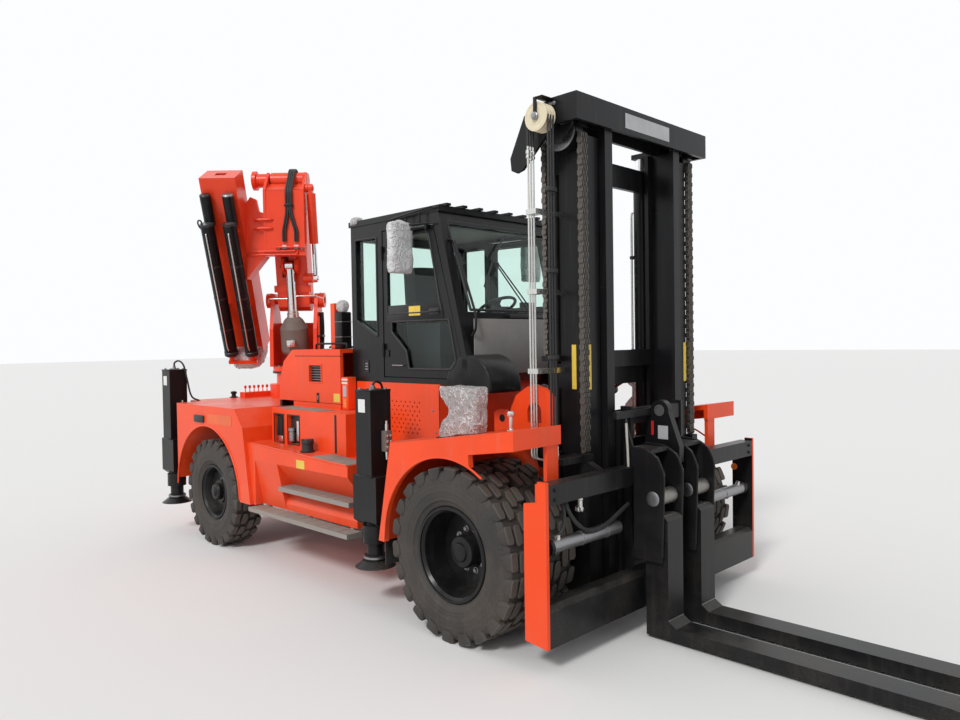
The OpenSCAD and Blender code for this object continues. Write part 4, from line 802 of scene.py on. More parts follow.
def build_wheel_trim():
    """Nuts, hub caps and the split lock rings of the rims."""
    for end, x, z, nuts, nut_y, nut_ring, size, cap_y, cap, sides, lock_y, section in (
            ("f", 0, FRONT_RADIUS, 10, 1.2275, 0.150, 0.017, 1.2555,
             (118, 0, 118, 55, 108, 75, 70, 82, 62, 95, 50, 100), 40, 1.418,
             ((0.322, 0.0), (0.336, 0.004), (0.340, 0.014), (0.334, 0.022), (0.318, 0.024))),
            ("r", REAR_X, REAR_RADIUS, 8, 1.2425, 0.118, 0.015, 1.2705,
             (88, 0, 88, 40, 78, 55, 50, 60, 44, 70, 34, 74), 36, 1.322,
             ((0.272, 0.0), (0.286, 0.004), (0.290, 0.012), (0.284, 0.020), (0.268, 0.022)))):
        for tag, s in SIDES:
            own = end + tag
            out = (0, s, 0)
            bolts("rim_nuts_" + own, ring_of((x, s * nut_y, z), nut_ring, even_angles(nuts)), out, size,
                  dull_steel, "wheel_" + own)
            turned("hub_cap_" + own, cap, (x, s * cap_y, z), out, black_paint, "wheel_" + own, sides=sides)
            ring = spun([(r, w * s) for r, w in section], LOCK_RING_SIDES)
            ring.data.transform(Matrix.Translation((x, s * lock_y, z)))
            keep(ring, "lock_ring_" + own, black_paint, "wheel_" + own)


# Chains

def build_chains():
    """Leaf chains: plates side by side on their pins, in place of the plain serrated runs."""
    pitch = 0.038
    shape = ((-0.019, -0.012), (-0.010, -0.026), (0.010, -0.026), (0.019, -0.012),
             (0.019, 0.012), (0.010, 0.026), (-0.010, 0.026), (-0.019, 0.012))
    rows = ((-0.0275, -0.0090, 0.0095, 0.0280), (-0.0365, -0.0180, 0.0005, 0.0190))
    for tag, x, low, high, body in (("front", 0.650, 1.316, 3.560, "inner_mast"),
                                    ("rear", 0.320, 2.002, 3.560, "mast")):
        ends = [(side * 0.720, k) for side in (-1, 1) for k in range(int((high - low) / pitch))]
        link = drawn([(a, 0.0, b) for a, b in shape])
        extruded((0, 0.0072, 0))
        outward()
        plates = repeated(link, [(x, y + across, low + 0.026 + k * pitch) for y, k in ends
                                 for across in rows[k % 2]])
        pin = rough_turned([(0.006, 0.0), (0.007, 0.001), (0.007, 0.079), (0.006, 0.080)], (0, -0.040, 0),
                           (0, 1, 0), 8)
        pins = repeated(pin, [(x, y, low + 0.007 + k * pitch) for y, k in ends])
        made = keep(joined([plates, pins]), "chain_plates_" + tag, chain_metal, body)
        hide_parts("chains_" + tag)


# Body trim

def build_hood_trim():
    """Seams, vents, latches, blank labels and the fittings on the hood's top."""
    face = 0.9005
    # Dark strip along the hood's seam: painted shade
    both("hood_seam_", (-2.86, -2.02), (face - 0.003, face + 0.003), (1.994, 1.999), painted_seam_shade, "hood",
         0.001)
    both("hood_vent_duct_", (-2.603, -2.387), (0.862, 0.870), (1.742, 1.908), trim_black, "hood")
    # Dark latch well: painted shade
    both("hood_latch_well_", (-2.468, -2.438), (0.900, 0.9018), (1.544, 1.634), painted_seam_shade, "hood", 0.001)
    both("hood_latch_", (-2.461, -2.445), (0.901, 0.907), (1.566, 1.612), dull_steel, "hood")
    both_signs("hood_label_", (-2.185, -2.085), (face - 0.0015, face + 0.0015), (1.560, 1.640),
               label_yellow, "hood")
    for tag, s in SIDES:
        frame_ring("hood_vent_rim_" + tag, (-2.612, -2.378), (1.733, 1.917), s * face, s, body_paint,
                   "hood")
        frame_ring("hood_latch_cup_" + tag, (-2.472, -2.434), (1.540, 1.638), s * face, s, trim_black,
                   "hood", 0.005, 0.004)
        tubes("hood_vent_bars_" + tag, [[(x, s * 0.884, 1.765 + 0.025 * k) for x in (-2.60, -2.39)]
                                        for k in range(6)], 0.004, dull_steel, "hood")
        pipes("hood_rail_" + tag, [[(x, s * 0.70, z) for x, z in ((-2.78, 2.055), (-2.78, 2.115),
                                                                  (-2.24, 2.115), (-2.24, 2.055))]], 0.010,
              black_paint, "hood")
    # Closing plates behind the cab with their bars, strip and reflector
    both("side_closing_", (-2.064, -1.962), (0.796, 0.8935), (1.493, 1.800), body_paint, bevel=0.006)
    for name, x, y, z, material in (
            ("bar_a_", (-2.060, -1.966), (0.8933, 0.8963), (1.768, 1.785), label_white),
            ("bar_b_", (-2.060, -1.966), (0.8933, 0.8963), (1.736, 1.753), label_white),
            ("strip_", (-2.040, -1.985), (0.8933, 0.8963), (1.615, 1.720), label_grey),
            ("reflector_", (-2.035, -1.985), (0.8908, 0.8988), (1.515, 1.600), reflector)):
        both_signs("side_" + name, x, y, z, material)
    block("hood_top_mat", (-2.78, -0.62, 2.0605), (-2.16, 0.62, 2.0645), anti_slip, "hood", bevel=0.001)
    # Air cleaner behind the cab with the wrapped lamp on it, exhaust, and hoses along the deck
    made = block("air_cleaner", (-2.498, -0.668, 2.061), (-2.372, -0.542, 2.430), black_paint, "hood",
                 bevel=0.016, segments=3)
    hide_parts("hood_lamp")
    corners = ((-2.500, -0.670), (-2.370, -0.670), (-2.370, -0.540), (-2.500, -0.540), (-2.500, -0.670))
    pipes("air_cleaner_straps", [[(x, y, z) for x, y in corners] for z in (2.18, 2.33)], 0.004, dull_steel,
          "hood", bend=0.012)
    wrapped("hood_lamp_bag", [(-2.435, -0.605, *ring) for ring in (
        (0.030, 0.030, 2.425), (0.050, 0.050, 2.440), (0.066, 0.064, 2.480), (0.060, 0.058, 2.520),
        (0.030, 0.028, 2.546))], film, "hood", folds=0.006, seed=3, square=0.85)
    turned("exhaust_stack", (55, 0, 55, 20, 45, 30, 45, 330, 47, 335, 47, 350, 38, 352, 36, 200),
           (-2.30, 0.40, 2.058), Z, dull_steel, "hood", sides=28)
    run = ((-2.95, 0, 2.076), (-2.88, -0.02, 2.085), (-2.72, -0.06, 2.080), (-2.50, -0.02, 2.078),
           (-2.30, 0.03, 2.082), (-2.12, 0.05, 2.076))
    hoses("deck_hoses", [[(x, start + y, z) for x, y, z in run] for start in (-0.42, -0.385, -0.35)], 0.011,
          body="hood")


def build_locker_trim():
    """Locker top, its two bays, the tank's cap, the blank labels on the flanks, and the rear's fittings."""
    both("locker_mat_", (-2.86, -2.10), (0.93, 1.135), (1.4905, 1.4935), anti_slip, bevel=0.001)
    for k, (x0, x1) in enumerate(((-2.85, -2.68), (-2.60, -2.40))):
        both("bay_back_%d_" % k, (x0 - 0.001, x1 + 0.001), (1.109, 1.114), (1.159, 1.431), trim_black)
        for tag, s in SIDES:
            frame_ring("bay_rim_%d_%s" % (k, tag), (x0 - 0.010, x1 + 0.010), (1.150, 1.440), s * 1.1505, s,
                       trim_black, wide=0.010, proud=0.005)
    both("bay_box_", (-2.475, -2.43), (1.118, 1.136), (1.19, 1.38), pipe_metal, bevel=0.004)
    both("bay_valve_", (-2.83, -2.72), (1.118, 1.140), (1.165, 1.22), pipe_metal, bevel=0.004)
    # Dark strip in the locker's gap: painted shade
    both("locker_gap_", (-1.812, -1.782), (1.1502, 1.1525), (1.135, 1.478), painted_seam_shade, bevel=0.0008)
    both_signs("tank_label_", (-2.10, -1.965), (1.3722, 1.3745), (1.00, 1.075), label_yellow)
    cap_x, cap_y = -2.12, 1.24
    for tag, s in SIDES:
        flat_plate("ledge_mat_" + tag, [(-1.86, 1.1212), (-1.33, 1.1010), (-1.33, 1.1050), (-1.86, 1.1252)],
                   "y", sorted((s * 1.152, s * 1.36)), anti_slip, bevel=0.001)
        turned("bay_filter_" + tag, (30, 0, 34, 6, 34, 80, 28, 86, 28, 100, 40, 104, 40, 130, 20, 135),
               (-2.55, s * 1.132, 1.18), Z, dull_steel, sides=24)
        hoses("bay_lines_" + tag, [[(-2.825 + 0.03 * i, s * 1.128, 1.19),
                                    (-2.82 + 0.028 * i, s * 1.136, 1.28),
                                    (-2.815 + 0.022 * i, s * 1.126, 1.41)] for i in range(4)], 0.006)
        # Filler cap with its grip ribs
        rib = rough_block((-0.004, 0.048, 1.222), (0.004, 0.056, 1.246), 0.0015, 1)
        turns = [Matrix.Translation((cap_x, s * cap_y, 0)) @ Matrix.Rotation(a, 4, "Z")
                 for a in even_angles(18)]
        keep(repeated(rib, turns), "cap_ribs_" + tag, trim_black)
        turned("filler_cap_" + tag, (53, 0, 53, 6, 58, 10, 58, 36, 55, 41, 30, 43, 28, 48, 20, 49),
               (cap_x, s * cap_y, 1.196), Z, trim_black, sides=40)
        turned("filler_neck_" + tag, (62, -4, 66, 2, 66, 12, 56, 14, 52.5, 30, 52.5, 75),
               (cap_x, s * cap_y, 1.129), Z, trim_black, sides=40)
        tubes("tank_lip_" + tag, [[(-2.90, s * 1.3735, 1.158), (-1.32, s * 1.3735, 1.100)]], 0.007,
              body_paint)
        # Rear: lamps and lifting eyes
        back = (-1.0, 0, 0.35)
        turned("tail_lamp_" + tag, (56, 0, 56, 20, 50, 28, 30, 34, 15, 36), (-5.000, s * 0.86, 1.24), back,
               lens_red, sides=36)
        turned("tail_lamp_rim_" + tag, (66, 0, 68, 4, 66, 18, 58, 20), (-4.998, s * 0.86, 1.24), back,
               trim_black, sides=36)
        turned("lifting_eye_" + tag, (50, 0, 50, 10, 30, 14, 24, 40, 36, 50, 36, 70, 20, 78),
               (-4.76, s * 0.60, 1.479), Z, black_paint, sides=24)
    sign("number_plate", (-5.033, -0.26, 0.92), (-5.030, 0.26, 1.02), label_white)


def build_deck_trim():
    """Grille bolts, hatch seam, rear wing's lamp housing and blank plate, arch lips, flaps and treads."""
    # Dark strip in the hatch's gap: painted shade
    both("hatch_gap_", (-0.812, -0.800), (0.7902, 0.7925), (1.02, 1.745), painted_seam_shade, bevel=0.0008)
    both("wing_lamp_", (-4.06, -3.84), (1.4105, 1.428), (1.30, 1.375), trim_black, bevel=0.006)
    both_signs("wing_plate_", (-3.76, -3.24), (1.4105, 1.4125), (1.30, 1.40), label_orange)
    for tag, s in SIDES:
        bolts("panel_bolts_" + tag, [(x, s * 0.79, z)
                                     for x, z in ((-0.89, 1.536), (-0.856, 1.353), (-1.90, 1.30),
                                                  (-1.90, 1.05))], (0, s, 0), 0.007, dull_steel)
        for end, centre, radius, lip, first in (
                ("rear", (REAR_X, s * 1.411, REAR_RADIUS), 0.712, 0.009, 2),
                ("front", (0, s * 1.479, FRONT_RADIUS), 0.690, 0.008, 58)):
            arc = ring_of(centre, radius, [math.radians(d) for d in range(first, 179, 8)])
            hoses(end + "_arch_lip_" + tag, [arc], lip, body_paint)
        a, b = sorted((s * 0.80, s * 1.43), key=lambda y: (y > 0) * y)
        flat_plate("front_flap_" + tag, [(a, 0.60), (b, 0.60), (b, 0.40), (a, 0.40)], "x", (-0.748, -0.738),
                   trim_black)
        turned("fender_bolt_" + tag, (30, -2, 30, 6, 16, 10, 13, 14, 13, 95, 24, 98, 26, 104, 26, 124, 20,
                                      132, 10, 134), (0.38, s * 1.20, 1.370 + fender_rise(0.38)), Z,
               pipe_metal, sides=20)
        # Rows of raised ribs on the treads
        for name, half, x0, dx, nx, y0, ny, z in (("low", 0.060, -2.74, 0.16, 10, 1.302, 7, 0.550),
                                                  ("high", 0.050, -2.36, 0.13, 8, 1.222, 8, 0.790)):
            rib = rough_block((-half, -0.003, 0.0), (half, 0.003, 0.003), 0.001, 1)
            spots = [(x0 + dx * i, s * (y0 + k * 0.019), z) for i in range(nx) for k in range(ny)]
            keep(repeated(rib, spots), name + "_tread_ribs_" + tag, tread_metal)


def build_jack_trim():
    """Cap bolts, collars, blank signs, valve blocks and hoses of the four jacks."""
    for tag, x, s, top in (("fr", -1.000, -1, 1.735), ("fl", -1.000, 1, 1.735), ("rr", -4.740, -1, 1.840),
                           ("rl", -4.740, 1, 1.840)):
        y = s * 1.332
        block("jack_cap_" + tag, (x - 0.104, y - 0.104, top - 0.004), (x + 0.104, y + 0.104, top + 0.010),
              black_paint)
        bolts("jack_cap_bolts_" + tag, [(x + i * 0.072, y + k * 0.072, top + 0.010) for i in (-1, 1)
                                        for k in (-1, 1)], Z, 0.012, dull_steel)
        turned("jack_port_" + tag, (30, 0, 30, 10, 18, 12, 18, 34, 12, 36), (x, y, top + 0.009), Z,
               dull_steel, sides=16)
        block("jack_collar_" + tag, (x - 0.108, y - 0.108, 1.052),
              (x + 0.108, y + (0.1005 if s > 0 else 0.108), 1.070), black_paint)
        a, b = sorted((s * 1.4322, s * 1.4345))
        sign("jack_sign_" + tag, (x - 0.060, a, top - 0.170), (x + 0.030, b, top - 0.065), label_white)
        # Valve block on the front face, with its steel lines
        vx, vy = x + 0.1005, s * 1.30
        block("jack_valve_" + tag, (vx, vy - 0.032, 1.255), (vx + 0.062, vy + 0.032, 1.420), cast_brown,
              bevel=0.006)
        turned("jack_valve_stem_" + tag, (14, 0, 14, 50, 10, 55, 10, 80), (vx + 0.030, vy, 1.418), Z,
               pipe_metal, sides=6)
        turned("jack_valve_foot_" + tag, (14, 0, 14, 40, 11, 45, 11, 65), (vx + 0.030, vy, 1.256),
               (0, 0, -1), pipe_metal, sides=6)
        bolts("jack_valve_plugs_" + tag, [(vx + 0.060, vy + d, z) for d in (-0.016, 0.016)
                                          for z in (1.29, 1.335, 1.38)], X, 0.010, pipe_metal)
        runs = []
        for i in range(3):
            yi = vy - s * 0.06 - s * 0.024 * i
            runs.append([(vx + 0.030 - 0.01 * i, vy - s * 0.010, 1.225), (vx + 0.040, yi, 1.17),
                         (vx + 0.050, yi - s * 0.02, 1.07), (vx + 0.030, yi - s * 0.03, 0.97),
                         (vx - 0.02, yi - s * 0.05, 0.915)])
        hoses("jack_hoses_" + tag, runs, 0.010)
        loop = ((0, 0, top + 0.040), (0.012, 0, top + 0.085), (0.060, 0.03, top + 0.105),
                (0.115, 0.06, top + 0.05), (0.125, 0.09, top - 0.10), (0.120, 0.14, top - 0.30),
                (0.110, 0.24, 1.478))
        if tag[0] == "f":
            loop = ((0, 0, top + 0.040), (0.01, 0.01, top + 0.065), (-0.02, 0.06, top + 0.068),
                    (-0.03, 0.115, top + 0.03), (-0.03, 0.128, top - 0.12), (-0.03, 0.128, 1.20),
                    (-0.03, 0.16, 1.00))
        hoses("jack_top_hose_" + tag, [[(x + dx, y - s * dy, z) for dx, dy, z in loop]], 0.010)
        turned("jack_pad_ring_" + tag, (92, 0, 96, 4, 96, 18, 89, 22), (x, y, 0.392), Z, dull_steel,
               "jack_leg_" + tag, sides=36)


# Cab

CAB_Y = -0.06


def bead(name, outline, y, body):
    """A rubber bead round a pane."""
    pipes(name, [[(x, y, z) for x, z in (*outline, outline[0])]], 0.009, trim_black, body, bend=0.02)


def louvre(name, x0, x1, z0, z1, y, s):
    """A small louvre with its rim and three slots."""
    frame_ring(name, (x0, x1), (z0, z1), y, s, trim_black)
    a, b = sorted((y, y + s * 0.003))
    for k in range(3):
        z = z0 + 0.022 + k * 0.026
        block("%s_slot%d" % (name, k), (x0 + 0.014, a, z), (x1 - 0.014, b, z + 0.013), dull_steel,
              bevel=0.001)


def build_cab_trim():
    """Beads round the panes, handles, rails, mirrors in their bags, wiper, roof and lower panels."""
    upper = ((-1.50, 2.37), (-0.78, 2.37), (-0.93, 3.045), (-1.50, 3.055))
    lower = ((-1.44, 2.30), (-1.44, 2.21), (-1.24, 2.04), (-1.21, 1.885), (-0.67, 1.885), (-0.61, 1.95),
             (-0.69, 2.30))
    quarter = ((-1.96, 2.33), (-1.64, 2.17), (-1.64, 3.07), (-1.96, 3.075))
    for tag, s in SIDES:
        door = "door_right" if s < 0 else "door_left"
        y = s * 0.716 + CAB_Y
        bead("door_bead_top_" + tag, upper, y, door)
        bead("door_bead_low_" + tag, lower, y, door)
        y = s * 0.7205 + CAB_Y
        bead("quarter_bead_" + tag, quarter, y, "chassis")
        louvre("cab_vent_rim_" + tag, -1.86, -1.78, 1.845, 1.955, y, s)
        # Wide band between the panes, with the handle in its cup and the blank label; lower pull
        y = s * 0.715 + CAB_Y
        band = [(-1.506, 2.294), (-0.742, 2.294), (-0.774, 2.444), (-1.506, 2.444)]
        flat_plate("door_band_" + tag, band, "y", sorted((y - s * 0.001, y + s * 0.005)), cab_paint, door)
        face = y + s * 0.005
        a, b = sorted((face - s * 0.001, face + s * 0.006))
        block("door_cup_" + tag, (-0.925, a, 2.346), (-0.800, b, 2.400), trim_black, door)
        pipes("door_handle_" + tag, [[(-0.915, face + s * 0.003, 2.372), (-0.905, face + s * 0.030, 2.374),
                                      (-0.805, face + s * 0.030, 2.374),
                                      (-0.795, face + s * 0.003, 2.372)]], 0.009, trim_black, door,
              bend=0.012)
        a, b = sorted((face - s * 0.001, face + s * 0.002))
        sign("door_label_" + tag, (-1.195, a, 2.345), (-1.045, b, 2.428), label_yellow, door)
        pipes("door_pull_" + tag, [[(-1.41, y, 1.915), (-1.41, y + s * 0.03, 1.915),
                                    (-1.27, y + s * 0.03, 1.915), (-1.27, y, 1.915)]], 0.006, dull_steel,
              door, bend=0.01)
        # Visor rails at the roof's edge and the grab rail along the windscreen's
        y = s * 0.735 + CAB_Y
        out = y + s * 0.03
        rails = [[(-1.40, y, 3.160), (-1.36, out, 3.195), (-0.84, out, 3.235), (-0.80, y, 3.225)],
                 [(-1.36, y, 3.118), (-1.30, out, 3.125), (-0.86, out, 3.105), (-0.82, y, 3.098)]]
        rails += [[(x, out, 3.12), (x, out, 3.205)] for x in (-1.16, -0.98)]
        pipes("visor_rails_" + tag, rails, 0.008, black_paint)
        y = s * 0.66 + CAB_Y
        grab = [(-0.745, y, 2.965), (-0.690, y - s * 0.015, 2.955), (-0.445, y - s * 0.015, 2.330),
                (-0.430, y, 2.215), (-0.478, y, 2.16)]
        pipes("grab_rail_" + tag, [grab], 0.011, black_paint, bend=0.05)
        # Mirror in a bag on the door's arm, and the roof's rear lamp in film
        y = s * 0.841 + CAB_Y
        rings = [(-1.155 + dx, y, a, b, z) for dx, a, b, z in (
            (0, 0.036, 0.100, 2.706), (0, 0.046, 0.118, 2.718), (0.002, 0.052, 0.126, 2.800),
            (0, 0.050, 0.124, 2.920), (0, 0.050, 0.123, 3.040), (0, 0.048, 0.121, 3.122),
            (0, 0.030, 0.060, 3.142), (0, 0.018, 0.026, 3.156))]
        wrapped("mirror_bag_" + tag, rings, bag_white, door, folds=0.009, seed=11 + s, square=0.42)
        y = s * 0.700 + CAB_Y
        block("roof_lamp_foot_" + tag, (-2.02, y - 0.02, 3.20), (-1.95, y + 0.02, 3.215), black_paint)
        rings = [(x, y, a, b, z) for x, a, b, z in (
            (-1.97, 0.030, 0.030, 3.214), (-1.97, 0.062, 0.052, 3.222), (-1.96, 0.070, 0.058, 3.252),
            (-1.96, 0.060, 0.048, 3.280), (-1.96, 0.022, 0.020, 3.294))]
        wrapped("roof_lamp_bag_" + tag, rings, film, folds=0.006, seed=21 + s, square=0.9)
    for tag, x, y in (("fr", -0.95, -0.70), ("fl", -0.95, 0.58), ("rr", -1.93, -0.70), ("rl", -1.93, 0.58)):
        ring = [(x, y + 0.020 * math.cos(k * math.pi / 8), 3.2445 + 0.020 * math.sin(k * math.pi / 8))
                for k in range(17)]
        hoses("roof_eye_" + tag, [ring], 0.006, black_paint)
    # Wiper and bead on the windscreen
    low = Vector((-0.545, CAB_Y, 2.375))
    up = Vector((-0.300, 0, 0.835)).normalized()
    out = Vector((0.94, 0, 0.34)).normalized() * 0.030

    def on_screen(*places):
        return [low + up * along + out + Vector((0, y, 0)) for y, along in places]
    tubes("wiper_arm", [on_screen((0.08, -0.03), (-0.02, 0.14), (-0.20, 0.46)),
                        on_screen((0.13, -0.03), (0.03, 0.14), (-0.16, 0.44))], 0.006, trim_black)
    tubes("wiper_blade", [on_screen((-0.40, 0.20), (-0.20, 0.46), (0.02, 0.70))], 0.009, trim_black)
    block("wiper_box", (-0.545, -0.22, 2.305), (-0.500, 0.22, 2.345), trim_black, bevel=0.008)
    corners = on_screen((-0.63, -0.01), (0.63, -0.01), (0.63, 0.79), (-0.63, 0.79), (-0.63, -0.01))
    tubes("screen_bead", [[c - out * 0.25 for c in corners]], 0.012, trim_black)
    # Lower front panel, headliner and visor band; the front panel's pale grey is a painted reflection of
    # the ground
    flat_plate("front_panel", [(-0.70, 1.84), (0.58, 1.84), (0.58, 2.30), (-0.70, 2.30)], "x",
               (-0.4795, -0.470), headliner, bevel=0.003)
    block("headliner", (-1.97, -0.72, 3.148), (-0.90, 0.60, 3.152), headliner, bevel=0.001)
    block("visor_band", (-0.858, -0.70, 3.085), (-0.842, 0.58, 3.150), headliner)


def build_front_covers():
    """The black rounded covers at the foot of the cab's front."""
    bpy.ops.mesh.primitive_cylinder_add(vertices=40, radius=0.265, depth=0.36,
                                        location=(-0.480, -0.60, 1.742), rotation=(math.pi / 2, 0, 0))
    made = bpy.context.object
    bpy.ops.object.transform_apply(location=True, rotation=True, scale=True)
    edit()
    for spot, away in (((0, 0, 1.705), Z), ((-0.735, 0, 0), X)):
        pick()
        bpy.ops.mesh.bisect(plane_co=spot, plane_no=away, use_fill=True, clear_inner=True)
    outward()
    added = made.modifiers.new("round", "BEVEL")
    added.width = 0.018
    added.segments = 3
    added.limit_method = "ANGLE"
    bpy.ops.object.modifier_apply(modifier=added.name)
    left = twin(keep(made, "front_cover", black_paint), Matrix.Translation((0, 1.08, 0)))
    left.name = "front_cover_left"
    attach(left, "chassis")


def cushion(name, low, high, crown, channels, where):
    """A padded form: crowned, pulled in at its seams, with sewn channels across it."""
    middle = [(a + b) / 2 for a, b in zip(low, high)]
    half = [(b - a) / 2 for a, b in zip(low, high)]
    bpy.ops.mesh.primitive_cube_add(size=2.0)
    made = bpy.context.object
    edit()
    pick()
    bpy.ops.mesh.subdivide(number_cuts=23)
    edit(False)
    for vertex in made.data.vertices:
        x, y, z = vertex.co
        puff = 1.0 - max(abs(x), abs(y)) ** 6
        pull = (1.0 - 0.05 * (1 - abs(z)) * abs(x * y)) * (1.0 + 0.035 * (1 - z * z)) * 0.97
        pz = middle[2] + half[2] * z
        if z > 0.9:
            sewn = sum(math.exp(-((x - c) / 0.035) ** 2) for c in channels)
            pz += crown * puff - crown * (1 - puff) * 0.6 - 0.012 * sewn * puff
        vertex.co = (middle[0] + half[0] * x * pull * (1 - 0.03 * y * y),
                     middle[1] + half[1] * y * pull * (1 - 0.03 * x * x), pz)
    added = made.modifiers.new("soft", "SUBSURF")
    added.levels = 1
    added.render_levels = 1
    bpy.ops.object.modifier_apply(modifier=added.name)
    keep(made, name, seat_cloth, "chassis", where, 60)


def build_cab_inside():
    """Seat cushions, piping, display, pedals and the lever knobs seen through the panes."""
    cushion("seat_cushion", (-1.765, -0.262, 2.088), (-1.232, 0.262, 2.205), 0.020, (-0.45, 0.05, 0.5), CAB)
    lean = CAB @ Matrix.Translation((-1.742, 0, 2.20)) @ Matrix.Rotation(math.radians(-96.0), 4, "Y")
    cushion("seat_back", (-0.010, -0.252, -0.120), (0.640, 0.252, 0.048), 0.018, (-0.5, 0.0, 0.5), lean)
    pipes("seat_piping", [[(x, y, 2.196) for x, y in ((-1.755, -0.255), (-1.24, -0.255), (-1.24, 0.255),
                                                      (-1.755, 0.255), (-1.755, -0.255))]], 0.006,
          trim_black, where=CAB, bend=0.05)
    block("display", (-0.83, 0.30, 2.33), (-0.80, 0.50, 2.47), trim_black, where=CAB, bevel=0.006)
    block("display_stand", (-0.815, 0.385, 2.18), (-0.795, 0.415, 2.34), trim_black, where=CAB)
    for i, y in enumerate((-0.20, -0.08, 0.18)):
        place = CAB @ Matrix.Translation((-0.7925, y, 1.92)) @ Matrix.Rotation(math.radians(-25), 4, "Y")
        block("pedal_%d" % i, (-0.0075, -0.035, -0.06), (0.0075, 0.035, 0.06), trim_black, where=place)
    for i in range(4):
        turned("lever_%d" % i, (7, 0, 7, 90, 16, 100, 18, 120, 14, 138, 6, 142),
               (-1.40 + 0.09 * i, -0.39, 2.278), (0.1, 0, 1), trim_black, where=CAB, sides=20)


def build_lamp_wraps():
    """Lamps on the front fenders wrapped in film, in place of their plain solids."""
    def rise(p):
        return max(0.0, 1.0 - (p.z - 1.372) / 0.16) * fender_rise(p.x)
    for tag, s in SIDES:
        rings = [(x, s * 1.20, a, b, z) for x, a, b, z in (
            (-0.105, 0.180, 0.080, 1.374), (-0.105, 0.205, 0.088, 1.385), (-0.100, 0.212, 0.089, 1.450),
            (-0.080, 0.200, 0.088, 1.520), (-0.045, 0.162, 0.084, 1.590), (-0.050, 0.165, 0.084, 1.640),
            (-0.080, 0.208, 0.088, 1.705), (-0.088, 0.215, 0.089, 1.755), (-0.088, 0.208, 0.086, 1.782),
            (-0.088, 0.160, 0.070, 1.788))]
        made = wrapped("lamp_wrap_" + tag, rings, film_dusty, sides=96, folds=0.016, seed=31 + s,
                       square=0.42, lean=rise)
        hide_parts("wrapped_lamps")
        a, b = sorted((s * 1.118, s * 1.282))
        flat_plate("lamp_foot_" + tag, [(-0.300, a), (-0.190, a), (-0.190, b), (-0.300, b)], "z",
                   (1.398, 1.412), black_paint)


# Mast and carriage

